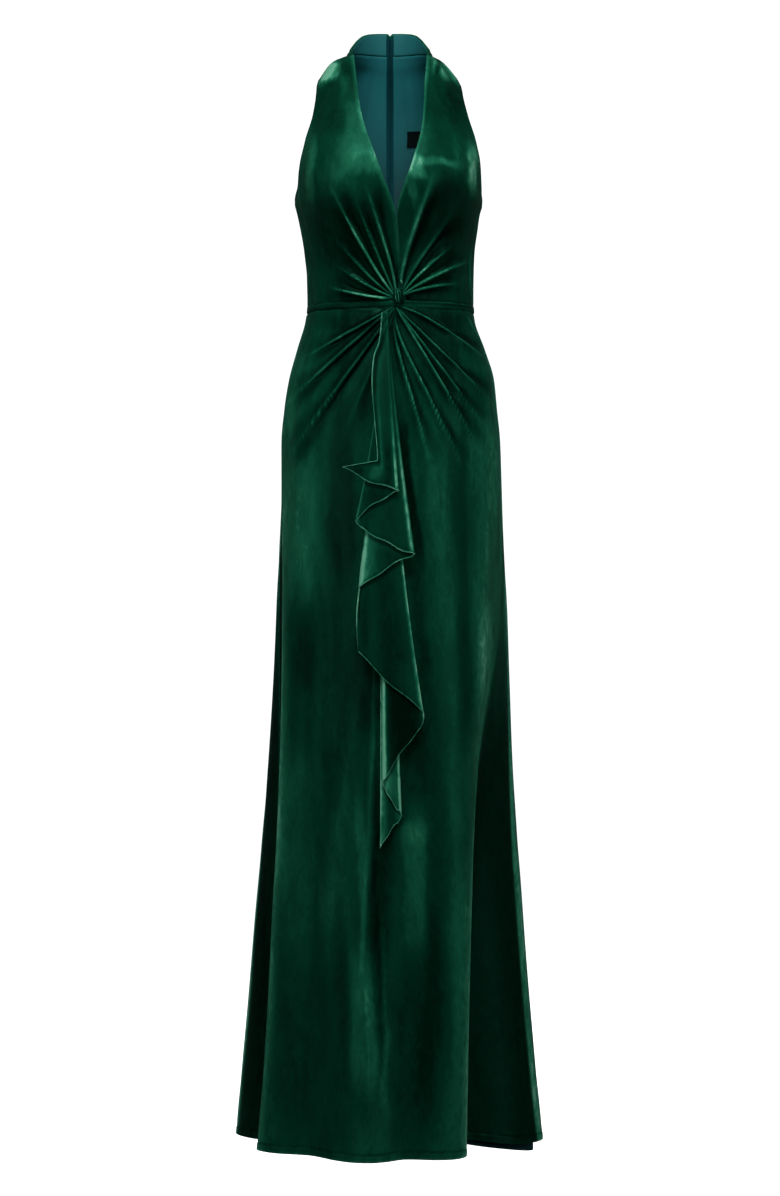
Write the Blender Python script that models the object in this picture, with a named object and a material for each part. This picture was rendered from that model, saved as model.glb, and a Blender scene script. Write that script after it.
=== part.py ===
"""A floor-length velvet halter gown, filled out as if worn, as closed cloth walls.

Metres, +Z up. The front faces -Y and the wearer's left is +X. The origin is the nape, on the inner face of the
neckband. Plan angles are measured round the gown's upright axis: 0 is the centre front, +90 the wearer's left
side and 180 the centre back. Every piece of cloth is cut from one body form, radius(angle, z), so that pieces
meet edge to edge at their seams.
"""

import math

import bmesh
import bpy
import numpy as np

# ---- Driving sizes -------------------------------------------------------------------------------------------

AXIS_Y = -0.055  # the upright axis of the form lies this far in front of the nape
WAIST_Z = -0.370
HEM_Z = -1.520
UNDERARM_Z = -0.231
SHOULDER_TIP_Z = -0.050
ZIP_END_Z = -0.590

VELVET = 0.0016  # wall of the velvet
SATIN = 0.0010  # wall of the lining and facing
RUFFLE = 0.0011  # the cascade is a single layer of velvet
SKIN_GAP = 0.0006  # between cloth that lies on other cloth, whose flat facets meet between their corners
SEAM = 0.0004  # half the gap between two pieces at a seam

BAND_HEIGHT = 0.0090  # narrow raised band on the waist seam
BAND_RISE = 0.0016
ZIP_HALF = 0.0052  # from the centre back to the lining's folded edge
TAPE_INSET = 0.0003
LINING_EDGE = 0.0012  # the back lining stops this far inside the edges of the velvet

# The body form: half widths on the wearer's right and left, depths to the front and back of the axis.
SECTION_COLUMNS = ("z", "right", "left", "front", "back", "square")
SECTIONS = (
    (0.0170, 0.0490, 0.0472, 0.0520, 0.0535, 2.00),
    (0.0000, 0.0508, 0.0488, 0.0540, 0.0550, 2.00),
    (-0.0160, 0.0536, 0.0528, 0.0570, 0.0570, 2.00),
    (-0.0235, 0.0592, 0.0580, 0.0600, 0.0585, 2.00),
    (-0.0285, 0.0645, 0.0622, 0.0627, 0.0594, 2.00),
    (-0.0330, 0.0765, 0.0700, 0.0652, 0.0606, 2.00),
    (-0.0400, 0.0848, 0.0770, 0.0690, 0.0630, 2.05),
    (-0.0500, 0.0918, 0.0856, 0.0740, 0.0660, 2.10),
    (-0.0660, 0.1018, 0.0970, 0.0820, 0.0710, 2.10),
    (-0.0934, 0.1170, 0.1160, 0.0960, 0.0800, 2.10),
    (-0.1236, 0.1260, 0.1270, 0.1140, 0.0870, 2.10),
    (-0.1523, 0.1310, 0.1315, 0.1320, 0.0905, 2.10),
    (-0.1800, 0.1310, 0.1305, 0.1440, 0.0915, 2.15),
    (-0.2100, 0.1300, 0.1285, 0.1490, 0.0890, 2.20),
    (-0.2310, 0.1300, 0.1260, 0.1460, 0.0860, 2.20),
    (-0.2410, 0.1275, 0.1230, 0.1430, 0.0840, 2.20),
    (-0.2630, 0.1228, 0.1200, 0.1340, 0.0790, 2.15),
    (-0.2950, 0.1175, 0.1160, 0.1200, 0.0710, 2.10),
    (-0.3300, 0.1135, 0.1145, 0.1095, 0.0645, 2.05),
    (-0.3700, 0.1130, 0.1145, 0.1050, 0.0620, 2.05),
    (-0.3880, 0.1150, 0.1160, 0.1060, 0.0640, 2.05),
    (-0.4290, 0.1270, 0.1297, 0.1130, 0.0760, 2.10),
    (-0.4700, 0.1380, 0.1421, 0.1215, 0.0900, 2.15),
    (-0.5116, 0.1449, 0.1463, 0.1280, 0.0990, 2.15),
    (-0.5530, 0.1490, 0.1504, 0.1320, 0.1040, 2.20),
    (-0.6360, 0.1506, 0.1532, 0.1360, 0.1070, 2.20),
    (-0.7190, 0.1559, 0.1586, 0.1385, 0.1090, 2.20),
    (-0.8000, 0.1606, 0.1648, 0.1407, 0.1118, 2.20),
    (-0.8840, 0.1636, 0.1687, 0.1430, 0.1150, 2.20),
    (-1.0500, 0.1722, 0.1752, 0.1480, 0.1230, 2.15),
    (-1.2150, 0.1820, 0.1832, 0.1530, 0.1350, 2.15),
    (-1.3810, 0.1922, 0.1933, 0.1570, 0.1500, 2.15),
    (-1.5200, 0.2036, 0.2040, 0.1610, 0.1650, 2.15),
)


# Two soft cups cut by the front gathers: plan angle and height of the middle, reach each way, rise.
# columns: angle, z, angle_reach, z_reach, rise
CUPS = (
    (-38.0, -0.185, 21.0, 0.055, 0.012),
    (38.0, -0.185, 21.0, 0.055, 0.012),
)

# Armhole: plan angle of the front and the back cut edge, from the shoulder tip to the underarm.
ARMHOLE_COLUMNS = ("z", "front", "back")
ARMHOLE = (
    (-0.0500, 90.0, 90.0),
    (-0.0580, 82.0, 97.0),
    (-0.0660, 76.0, 102.0),
    (-0.0934, 63.0, 112.0),
    (-0.1236, 58.0, 117.0),
    (-0.1523, 57.0, 117.0),
    (-0.1800, 58.8, 113.0),
    (-0.2100, 65.5, 105.0),
    (-0.2240, 77.0, 97.0),
    (-0.2310, 90.0, 90.0),
)


# Neckband: top edge and neck seam by plan angle.
NECKBAND_END_DEG = 59.0
FACING_SHORT_DEG = 3.0
BAND_COLUMNS = ("angle", "top", "seam")
NECKBAND = (
    (58.0, -0.0212, -0.0278),
    (75.0, -0.0188, -0.0262),
    (92.0, -0.0142, -0.0235),
    (107.0, -0.0066, -0.0190),
    (123.0, 0.0034, -0.0164),
    (137.0, 0.0108, -0.0154),
    (150.0, 0.0142, -0.0151),
    (165.0, 0.0157, -0.0150),
    (176.0, 0.0160, -0.0150),
    (180.0, 0.0128, -0.0150),
)


# The plunging neckline of each front, from the neck down to the twist, as half-plane positions seen from the front.
# columns: x, z
NECKLINE = {
    -1: (
        (-0.0497, -0.0278),
        (-0.0452, -0.0670),
        (-0.0422, -0.0990),
        (-0.0352, -0.1340),
        (-0.0228, -0.1720),
        (-0.0094, -0.2080),
        (0.0030, -0.2400),
        (0.0078, -0.2560),
        (0.0104, -0.2870),
        (0.0128, -0.3190),
        (0.0136, -0.3520),
    ),
    1: (
        (0.0505, -0.0278),
        (0.0478, -0.0670),
        (0.0462, -0.1050),
        (0.0419, -0.1434),
        (0.0295, -0.1887),
        (0.0187, -0.2193),
        (0.0112, -0.2427),
        (0.0092, -0.2560),
        (0.0116, -0.2870),
        (0.0140, -0.3190),
        (0.0148, -0.3520),
    ),
}

# Gathers radiate from a focus beside the twist. Angle is measured from level, outwards to each side.
# columns: angle, reach, height, width
BODICE_FOCUS = {-1: (0.0080, -0.3665), 1: (0.0150, -0.3645)}
BODICE_GATHERS = {
    -1: (
        (16.0, 0.095, 0.0042, 4.6),
        (37.0, 0.090, 0.0036, 4.4),
        (52.0, 0.105, 0.0038, 3.8),
        (62.0, 0.165, 0.0042, 3.4),
        (71.0, 0.135, 0.0036, 3.0),
        (79.0, 0.150, 0.0036, 2.8),
    ),
    1: (
        (16.0, 0.090, 0.0038, 4.6),
        (30.0, 0.110, 0.0042, 4.4),
        (45.0, 0.115, 0.0038, 4.0),
        (58.0, 0.140, 0.0038, 3.6),
        (74.0, 0.170, 0.0044, 3.6),
    ),
}
SKIRT_FOCUS = (0.0070, -0.3760)
FOCUS_BLEND = 0.004  # the two sides' gathers pass into one another this far each side of the focus
SKIRT_GATHERS = {
    -1: (
        (30.0, 0.120, 0.0050, 4.4),
        (43.0, 0.185, 0.0052, 4.2),
        (55.5, 0.250, 0.0056, 4.0),
        (68.0, 0.150, 0.0030, 4.0),
    ),
    1: (
        (27.6, 0.140, 0.0050, 4.2),
        (43.5, 0.180, 0.0054, 3.8),
        (53.0, 0.205, 0.0046, 3.2),
        (61.0, 0.225, 0.0050, 3.2),
        (69.0, 0.230, 0.0054, 3.4),
        (78.0, 0.205, 0.0050, 3.4),
    ),
}

# Upright folds of the skirt: plan angle where each starts and at the hem, the height it starts from, its reach
# towards the front and towards the back in degrees, and its rise at the hem (a trough is negative).
# columns: start_angle, hem_angle, start_z, front_reach, back_reach, rise
SKIRT_FOLDS = (
    (8.0, 8.0, -0.80, 9.0, 11.0, -0.016),
    (-43.0, -43.0, -0.60, 15.0, 15.0, -0.024),
    (38.0, 36.0, -0.70, 12.0, 12.0, 0.004),
    (-78.5, -85.0, -0.50, 11.0, 12.0, -0.051),
    (-112.0, -112.0, -0.70, 13.0, 13.0, 0.028),
    (72.0, 57.0, -0.62, 16.0, 22.0, -0.078),
    (98.0, 97.0, -0.80, 12.0, 13.0, 0.011),
    (127.0, 128.0, -0.62, 11.0, 11.0, -0.032),
    (152.0, 153.0, -0.74, 10.0, 10.0, -0.030),
    (180.0, 180.0, -0.70, 9.0, 9.0, -0.026),
    (-154.0, -153.0, -0.66, 10.0, 10.0, -0.033),
    (-133.0, -132.0, -0.80, 9.0, 9.0, -0.026),
)

HEM_LIFT_START = -1.25
# columns: plan angle, reach, rise
HEM_LIFTS = (
    (62.0, 12.0, 0.011),
    (-14.0, 16.0, -0.003),
)
LINING_HEM_Z = -1.510
LINING_DIP = (104.0, 32.0, 0.028)  # it hangs below the velvet on the wearer's left: plan angle, reach, drop
LINING_INSET = 0.0060
LINING_TOP_DROP = 0.014  # below the waist seam
LINING_WINDOW_DEG = 8.0  # the lining spans the troughs of the velvet this far each side

# Cascade: one row for each turn of its free edge, from the upper corner to the lowest tip. The edge comes into
# the turn at x, z and leaves it at x_out, z_out; side is -1 or +1. The fold line from the twist runs out to the
# turn with its share of the way down raised to a power: a high one keeps it in the bundle until near its end.
# columns: x, z, x_out, z_out, side, power
CASCADE_TURNS = (
    (-0.0627, -0.5964, -0.0627, -0.5964, -1, 1.0),
    (0.0113, -0.6270, 0.0113, -0.6300, 1, 1.3),
    (-0.0493, -0.6664, -0.0360, -0.6800, -1, 1.8),
    (0.0327, -0.7110, 0.0327, -0.7140, 1, 1.3),
    (-0.0440, -0.7577, -0.0453, -0.8430, -1, 2.0),
    (0.0472, -0.9216, 0.0420, -0.9470, 1, 1.8),
    (-0.0103, -1.0110, -0.0091, -1.0260, -1, 1.0),
    (0.0165, -1.0560, 0.0139, -1.0700, 1, 1.5),
    (-0.0130, -1.1050, -0.0130, -1.1050, -1, 1.0),
)
CASCADE_LONG_TURN = 4  # this fold hangs upright past the layers below it and leaves the bundle late
CASCADE_LATE = (0.6, 4.1)  # share of the way down where its lower rim starts to leave, and how fast
CASCADE_TOP = (-0.0068, -0.3880)  # x and z where it leaves the twist
CASCADE_HALF = 0.0038  # half its width there
CASCADE_CLEAR = 0.0036
CASCADE_PITCH_TOP = 0.0018  # from one layer to the next at the twist and at the free edge
CASCADE_PITCH_EDGE = 0.0034
# The upper side edge, from the twist to the corner, by its share of the way down.
# columns: share, x
SIDE_EDGE = (
    (0.00, -0.0106),
    (0.18, -0.0140),
    (0.30, -0.0220),
    (0.45, -0.0240),
    (0.70, -0.0205),
    (0.93, -0.0160),
    (0.97, -0.0240),
    (1.00, -0.0627),
)

TWIST_CENTRE = (0.0115, -0.3660)
TWIST_HALF = (0.0085, 0.0050, 0.0135)  # half width, depth and height
TWIST_RIDGES = 5
TWIST_CLEAR = 0.0034  # in front of the velvet it holds
BAND_SPLIT_DEG = 6.0  # the two front bands end behind the twist, at this plan angle
BAND_SPLIT_HALF_DEG = 0.3
BAND_SEAM_DEG = 0.2

LABEL_CENTRE = (0.0430, -0.1290)
LABEL_SIZE = (0.0360, 0.0220)
LABEL_THICK = 0.0008
LABEL_CLEAR = 0.0009  # it hangs this far off the lining

SLIDER_SIZE = (0.0070, 0.0026, 0.0095)
SLIDER_Z = 0.0050
PULL_BAR_OFFSET = 0.0020  # from the slider's face to the middle of its bar
PULL_BAR_RADIUS = 0.00045
PULL_EYE = (0.00085, 0.0016)  # inner and outer radius of the pull's eye
PULL_LENGTH = 0.0160
PULL_WIDTH = 0.0042
PULL_THICK = 0.0010
PULL_EYE_HALF = 0.0014
# The pull below its eye: distance below the bar and half width, as shares of its length and of its width.
# columns: down, half
PULL_OUTLINE = (
    (0.075, 0.30),
    (0.163, 0.28),
    (0.281, 0.40),
    (0.625, 0.47),
    (0.844, 0.50),
    (0.950, 0.42),
    (1.000, 0.22),
)
LUG_INNER = 0.0018
LUG_OUTER = 0.0027

COLOURS = {
    "velvet": ((0.006, 0.060, 0.036, 1.0), 0.75, 0.0),
    "satin": ((0.012, 0.085, 0.095, 1.0), 0.45, 0.0),
    "tape": ((0.006, 0.050, 0.060, 1.0), 0.70, 0.0),
    "label": ((0.006, 0.006, 0.007, 1.0), 0.60, 0.0),
    "enamel": ((0.008, 0.130, 0.095, 1.0), 0.35, 0.6),
}


# ---- Curves through the tables -------------------------------------------------------------------------------


def smooth_through(xs, ys):
    """A smooth curve through the points that never swings past them; level beyond its ends."""
    order = np.argsort(xs)
    xs = np.asarray(xs, float)[order]
    ys = np.asarray(ys, float)[order]
    step = np.diff(xs)
    slope = np.diff(ys) / step
    tangent = np.zeros_like(ys)
    tangent[0] = slope[0]
    tangent[-1] = slope[-1]
    for i in range(1, len(xs) - 1):
        if slope[i - 1] * slope[i] > 0:
            before = 2 * step[i] + step[i - 1]
            after = step[i] + 2 * step[i - 1]
            tangent[i] = (before + after) / (before / slope[i - 1] + after / slope[i])

    def at(x):
        x = np.clip(np.asarray(x, float), xs[0], xs[-1])
        i = np.clip(np.searchsorted(xs, x) - 1, 0, len(step) - 1)
        t = (x - xs[i]) / step[i]
        rise = ys[i] * (2 * t**3 - 3 * t**2 + 1) + ys[i + 1] * (3 * t**2 - 2 * t**3)
        lean = tangent[i] * (t**3 - 2 * t**2 + t) + tangent[i + 1] * (t**3 - t**2)
        return rise + step[i] * lean

    return at


def table_curves(columns, rows, key):
    """One smooth curve for each other column of a table, by its key column."""
    place = columns.index(key)
    xs = [row[place] for row in rows]
    return {
        name: smooth_through(xs, [row[i] for row in rows])
        for i, name in enumerate(columns)
        if i != place
    }


def smooth_step(t):
    t = np.clip(t, 0.0, 1.0)
    return t * t * (3 - 2 * t)


SECTION = table_curves(SECTION_COLUMNS, SECTIONS, "z")
ARM = table_curves(ARMHOLE_COLUMNS, ARMHOLE, "z")
BAND = table_curves(BAND_COLUMNS, NECKBAND, "angle")


# ---- The body form -------------------------------------------------------------------------------------------


def wrapped(degrees):
    return (degrees + 180.0) % 360.0 - 180.0


def fold_rise(angle, z):
    """How far the skirt's upright folds stand out of the form."""
    total = np.zeros(np.broadcast(angle, z).shape)
    for start_angle, hem_angle, start_z, front_reach, back_reach, rise in SKIRT_FOLDS:
        down = (start_z - z) / (start_z - HEM_Z)
        grown = smooth_step(down) ** 0.8
        middle = start_angle + (hem_angle - start_angle) * np.clip(down, 0, 1)
        away = wrapped(np.degrees(angle) - middle)
        towards_back = away * np.sign(start_angle + 1e-6) > 0
        reach = np.where(towards_back, back_reach, front_reach)
        total = total + rise * grown * np.exp(-((away / reach) ** 2))
    return total


def radius(angle, z):
    """Distance from the axis to the inner face of the cloth, without the gathers."""
    angle, z = np.broadcast_arrays(np.asarray(angle, float), np.asarray(z, float))
    half = np.where(np.sin(angle) < 0, SECTION["right"](z), SECTION["left"](z))
    depth = np.where(np.cos(angle) > 0, SECTION["front"](z), SECTION["back"](z))
    power = SECTION["square"](z)
    across = np.abs(np.sin(angle) / half) ** power
    along = np.abs(np.cos(angle) / depth) ** power
    out = (across + along) ** (-1 / power)
    for middle, middle_z, angle_reach, z_reach, rise in CUPS:
        away = wrapped(np.degrees(angle) - middle) / angle_reach
        out = out + rise * np.exp(-(away**2) - ((z - middle_z) / z_reach) ** 2)
    return out + fold_rise(angle, z)


def gather_rise(angle, z, focus_of, rows_of, upward):
    """Ridges that radiate from the focus; each swells and dies away along its reach."""
    x = radius(angle, z) * np.sin(angle)
    total = np.zeros_like(x)
    for side, rows in rows_of.items():
        focus_x, focus_z = focus_of[side] if isinstance(focus_of, dict) else focus_of
        across = side * (x - focus_x)
        along = upward * (z - focus_z)
        far = np.hypot(across, along) + 1e-9
        turn = np.degrees(np.arctan2(along, across))
        near_side = 1.0 if isinstance(focus_of, dict) else smooth_step(across / (2 * FOCUS_BLEND) + 0.5)
        for middle, reach, height, width in rows:
            share = np.clip(far / reach, 0, 1)
            swell = np.clip(far / 0.035, 0, 1) ** 0.8 * (1 - smooth_step((share - 0.35) / 0.65))
            total = total + near_side * height * swell * np.exp(-np.abs((turn - middle) / width) ** 1.5)
    return total


def bodice_rise(side):
    def rise(angle, z):
        return gather_rise(angle, z, {side: BODICE_FOCUS[side]}, {side: BODICE_GATHERS[side]}, 1)

    return rise


def skirt_rise(angle, z):
    return gather_rise(angle, z, SKIRT_FOCUS, SKIRT_GATHERS, -1)


def place(angle, z, out):
    return np.stack([out * np.sin(angle), AXIS_Y - out * np.cos(angle), z + 0 * out], axis=-1)


def form_normal(angle, z):
    """Unit normal of the form with its upright folds, facing out."""
    turn, drop = 0.004, 0.0008
    right = place(angle + turn, z, radius(angle + turn, z))
    left = place(angle - turn, z, radius(angle - turn, z))
    above = place(angle, z + drop, radius(angle, z + drop))
    below = place(angle, z - drop, radius(angle, z - drop))
    normal = np.cross(right - left, above - below)
    return normal / np.linalg.norm(normal, axis=-1, keepdims=True)


def angle_at(x, z):
    """Plan angle of the front surface at x, z seen from the front."""
    angle = np.arcsin(np.clip(x / SECTION["front"](z), -0.9, 0.9))
    for _ in range(12):
        angle = np.arcsin(np.clip(x / radius(angle, z), -0.999, 0.999))
    return angle


# ---- Solids --------------------------------------------------------------------------------------------------


def material(name):
    found = bpy.data.materials.get(name)
    if found:
        return found
    colour, roughness, metallic = COLOURS[name]
    made = bpy.data.materials.new(name)
    made.use_nodes = True
    shader = made.node_tree.nodes["Principled BSDF"]
    shader.inputs["Base Color"].default_value = colour
    shader.inputs["Roughness"].default_value = roughness
    shader.inputs["Metallic"].default_value = metallic
    made.diffuse_color = colour
    return made


def solid(name, finish, points, faces, sharp_deg=50.0):
    mesh = bpy.data.meshes.new(name)
    mesh.from_pydata([tuple(p) for p in points], [], faces)
    shape = bmesh.new()
    shape.from_mesh(mesh)
    bmesh.ops.recalc_face_normals(shape, faces=shape.faces)
    bmesh.ops.triangulate(shape, faces=shape.faces)
    shape.to_mesh(mesh)
    shape.free()
    mesh.shade_smooth()
    mesh.set_sharp_from_angle(angle=math.radians(sharp_deg))
    mesh.materials.append(material(finish))
    made = bpy.data.objects.new(name, mesh)
    bpy.context.scene.collection.objects.link(made)
    return made


def wall(name, finish, inner, outer, ring=False):
    """A closed wall between two grids of points (rows by columns); ring joins the last column to the first."""
    rows, columns = inner.shape[:2]
    points = np.concatenate([inner.reshape(-1, 3), outer.reshape(-1, 3)])
    shift = rows * columns

    def at(i, j, layer):
        return layer * shift + i * columns + j % columns

    faces = []
    last = columns if ring else columns - 1
    for i in range(rows - 1):
        for j in range(last):
            faces.append((at(i, j, 1), at(i, j + 1, 1), at(i + 1, j + 1, 1), at(i + 1, j, 1)))
            faces.append((at(i, j, 0), at(i + 1, j, 0), at(i + 1, j + 1, 0), at(i, j + 1, 0)))
    for j in range(last):
        for i in (0, rows - 1):
            faces.append((at(i, j, 0), at(i, j + 1, 0), at(i, j + 1, 1), at(i, j, 1)))
    if not ring:
        for i in range(rows - 1):
            for j in (0, columns - 1):
                faces.append((at(i, j, 0), at(i, j, 1), at(i + 1, j, 1), at(i + 1, j, 0)))
    return solid(name, finish, points, faces)


def cloth(name, finish, angle, z, thick, lift=0.0, rise=None, ring=False, base=None):
    """A wall of cloth over the form, its inner face lift outside it."""
    out = radius(angle, z) if base is None else base(angle, z)
    if rise is not None:
        out = out + rise(angle, z)
    points = place(angle, z, out)
    normal = form_normal(angle, z)
    return wall(name, finish, points + normal * lift, points + normal * (lift + thick), ring)


def seam_angle(distance, z):
    """The plan angle that takes up a distance along the cloth at the side or the back."""
    return distance / radius(math.pi, z)


def spread(low, high, count):
    return low + (high - low) * np.arange(count + 1) / count


def fan_stops(rows, last, widest):
    """Angles for the columns of a fan: both flanks and the crest of each gather, and the spaces filled in."""
    stops = {0.0, last}
    for middle, _, _, width in rows:
        stops |= {middle - 0.95 * width, middle, middle + 0.95 * width}
    stops = sorted(s for s in stops if 0 <= s <= last)
    kept = [stops[0]]
    for stop in stops[1:]:
        if stop - kept[-1] < 1.6 and stop != last:
            continue
        if stop - kept[-1] < 1.6:
            kept.pop()
        while stop - kept[-1] > widest * 1.3:
            kept.append(kept[-1] + (stop - kept[-1]) / math.ceil((stop - kept[-1]) / widest))
        kept.append(stop)
    return np.array(kept)


# ---- Bodice --------------------------------------------------------------------------------------------------


def walk(points, shares):
    """Points at shares of the length along a chain of points."""
    points = np.asarray(points, float)
    lengths = np.concatenate([[0], np.cumsum(np.linalg.norm(np.diff(points, axis=0), axis=1))])
    lengths /= lengths[-1]
    return np.stack([np.interp(shares, lengths, points[:, k]) for k in range(points.shape[1])], axis=1)


def outer_edge(side, stops):
    """Side seam, armhole, shoulder and neck seam of a front, as plan angle and z, at fan angles."""
    seam = math.pi / 2 - seam_angle(SEAM, WAIST_Z)
    low = WAIST_Z + SEAM
    chain = [(seam, z) for z in spread(low, UNDERARM_Z, 24)]
    for z in spread(UNDERARM_Z, SHOULDER_TIP_Z, 40)[1:-1]:
        chain.append((min(math.radians(float(ARM["front"](z))), seam), z))
    neck_z = float(BAND["seam"](90.0)) - SEAM
    chain += [(seam, z) for z in spread(SHOULDER_TIP_Z, neck_z, 8)]
    top = abs(float(angle_at(np.array(NECKLINE[side][0][0]), np.array(NECKLINE[side][0][1]))))
    for angle in spread(seam, top, 6)[1:]:
        chain.append((angle, float(BAND["seam"](math.degrees(angle))) - SEAM))
    chain = np.array(chain)
    x = radius(side * chain[:, 0], chain[:, 1]) * np.sin(chain[:, 0])
    focus_x, focus_z = BODICE_FOCUS[side]
    fan = np.degrees(np.arctan2(chain[:, 1] - focus_z, x - side * focus_x))
    fan = np.maximum.accumulate(fan + np.linspace(0, 1e-3, len(fan)))
    fan = (fan - fan[0]) / (fan[-1] - fan[0])
    share = stops / stops[-1]
    return np.stack([side * np.interp(share, fan, chain[:, 0]), np.interp(share, fan, chain[:, 1])], axis=1)


FAN_ROWS = (0.0, 0.035, 0.08, 0.13, 0.19, 0.26, 0.34, 0.43, 0.53, 0.64, 0.75, 0.86, 0.94, 1.0)
BODICE_FAN_LAST = 95.0
BODICE_FAN_START = 0.0065  # the gathers start this far from their focus
NECK_HOLD = 2.0  # how soon the columns stop following the neckline
FLANK_START, FLANK_REACH = 0.2, 0.3  # columns blend by plan angle near the side seam, then as seen from the front


def bodice_front(side):
    name = "bodice_front_left" if side > 0 else "bodice_front_right"
    stops = fan_stops(BODICE_GATHERS[side], BODICE_FAN_LAST, 6.5)
    v = np.array(FAN_ROWS)
    focus_x, focus_z = BODICE_FOCUS[side]
    across = focus_x + side * BODICE_FAN_START * np.cos(np.radians(stops))
    height = np.maximum(focus_z + BODICE_FAN_START * np.sin(np.radians(stops)), WAIST_Z + SEAM)
    height[0] = WAIST_Z + SEAM
    start = np.stack([angle_at(across, height), height], axis=1)
    neckline = np.array(NECKLINE[side][::-1])
    dense = walk(neckline, np.linspace(0, 1, 60))
    neck = np.stack([angle_at(dense[:, 0], dense[:, 1]), dense[:, 1]], axis=1)
    start[-1] = neck[0]
    end = outer_edge(side, stops)
    end[-1] = neck[-1]
    scaled = neck * np.array([0.12, 1.0])
    lengths = np.concatenate([[0], np.cumsum(np.linalg.norm(np.diff(scaled, axis=0), axis=1))])
    neck = np.stack([np.interp(v * lengths[-1], lengths, neck[:, k]) for k in (0, 1)], axis=1)
    edges = []
    for edge in (start, end, neck):
        across = radius(edge[:, 0], edge[:, 1]) * np.sin(edge[:, 0])
        edges.append(np.stack([edge[:, 0], edge[:, 1], across], axis=1))
    start, end, neck = edges
    u = (stops / stops[-1])[None, :, None]
    v = v[:, None, None]
    bow = neck[:, None] - ((1 - v) * neck[0] + v * neck[-1])
    patch = (1 - v) * start[None] + v * end[None] + u**NECK_HOLD * bow
    z = patch[..., 1]
    turned = smooth_step((u[..., 0] - FLANK_START) / FLANK_REACH)
    angle = (1 - turned) * patch[..., 0] + turned * angle_at(patch[..., 2], z)
    angle[-1] = end[:, 0]
    return cloth(name, "velvet", angle, z, VELVET, rise=bodice_rise(side))


def back_outline(z):
    """Plan angle (degrees) of the outer edge of a back piece."""
    edge = np.where((z > UNDERARM_Z) & (z < SHOULDER_TIP_Z), ARM["back"](z), 90.0)
    return np.maximum(edge, 90.0) + np.degrees(seam_angle(SEAM, WAIST_Z))


BACK_HEIGHTS = (
    -0.330, -0.290, -0.255, UNDERARM_Z, -0.220, -0.200, -0.165, -0.125, -0.093, -0.068, -0.056, -0.044, -0.033,
)
BACK_COLUMNS = 8


def back_piece(name, finish, side, centre, thick, lift, inset):
    """A back of the bodice, or its lining laid on the same rows and columns: centre back to side seam."""
    rows = [WAIST_Z + SEAM, *BACK_HEIGHTS, -0.026]
    share = np.arange(BACK_COLUMNS + 1) / BACK_COLUMNS
    angles, heights = [], []
    for z in rows:
        outer = float(back_outline(np.array(z)))
        inner = 180.0 - math.degrees(seam_angle(SEAM, z))
        row = inner + (outer - inner) * share
        row[0] = 180.0 - math.degrees(seam_angle(centre, z))
        row[-1] = outer + math.degrees(seam_angle(inset, z))
        angles.append(row)
        heights.append(np.full(BACK_COLUMNS + 1, z))
    heights[0] = heights[0] + inset
    heights[-1] = BAND["seam"](angles[-1]) - SEAM
    angle = side * np.radians(np.array(angles))
    return cloth(name, finish, angle, np.array(heights), thick, lift)


def neckband(name, finish, side, centre, front, thick, lift, lower):
    """The stand round the nape, or its facing."""
    columns = 15
    first = math.degrees(seam_angle(centre, 0.0))
    angle = 180.0 - first + (front - 180.0 + first) * np.arange(columns + 1) / columns
    seam = BAND["seam"](angle) + SEAM + lower
    top = BAND["top"](angle) - lower
    share = np.array([0.0, 0.5, 1.0])[:, None]
    z = seam[None] + (top - seam)[None] * share
    return cloth(name, finish, side * np.radians(np.broadcast_to(angle, z.shape)), z, thick, lift)


# ---- Waist ---------------------------------------------------------------------------------------------------


def waistband(name, side, start_deg, end_deg, columns):
    """A narrow raised band, rounded over, from one plan angle to another."""
    angle = np.radians(spread(start_deg, end_deg, columns)) * side
    low = WAIST_Z - BAND_HEIGHT
    top = WAIST_Z - SEAM
    levels = ((low + SEAM, 0.25), (low + BAND_HEIGHT * 0.3, 1.0), (low + BAND_HEIGHT * 0.7, 1.0), (top, 0.25))
    inner, outer = [], []
    for z, share in levels:
        height = np.full(angle.shape, z)
        points = place(angle, height, radius(angle, height))
        normal = form_normal(angle, height)
        inner.append(points)
        outer.append(points + normal * (VELVET + share * BAND_RISE))
    return wall(name, "velvet", np.array(inner), np.array(outer))


def front_twist():
    """A small upright knot with soft ridges, standing just clear of the gathers it holds."""
    x, z = TWIST_CENTRE
    half_x, half_y, half_z = TWIST_HALF
    angle = float(angle_at(np.array(x), np.array(z)))
    surface = place(np.array(angle), np.array(z), radius(np.array(angle), np.array(z)))
    middle = surface + np.array([0.0, -(VELVET + TWIST_CLEAR + half_y), 0.0])
    shape = bmesh.new()
    bmesh.ops.create_uvsphere(shape, u_segments=16, v_segments=10, radius=1.0)
    for vertex in shape.verts:
        way = vertex.co.normalized()
        around = math.atan2(way.x, -way.y)
        level = math.sqrt(max(0.0, 1 - way.z**2))
        ridge = 1 + 0.10 * math.cos(TWIST_RIDGES * 2 * around + 1.4 * way.z) * level
        vertex.co.x = float(middle[0]) + half_x * way.x * ridge - 0.0012 * way.z
        vertex.co.y = float(middle[1]) + half_y * way.y * ridge
        vertex.co.z = z + half_z * way.z
    mesh = bpy.data.meshes.new("front_twist")
    bmesh.ops.triangulate(shape, faces=shape.faces)
    shape.to_mesh(mesh)
    shape.free()
    mesh.shade_smooth()
    mesh.materials.append(material("velvet"))
    made = bpy.data.objects.new("front_twist", mesh)
    bpy.context.scene.collection.objects.link(made)
    return made


# ---- Skirt ---------------------------------------------------------------------------------------------------

SKIRT_TOP = WAIST_Z - BAND_HEIGHT
FAN_SHARES = (0.02, 0.08, 0.18, 0.32, 0.50, 0.74, 1.0)
LOWER_ROWS = 12
FAN_DROP = 0.125  # how far below the waist the fan reaches when its edge meets the side seam
SEAM_POWER = 1.25
CENTRE_POWER = 1.10


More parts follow.
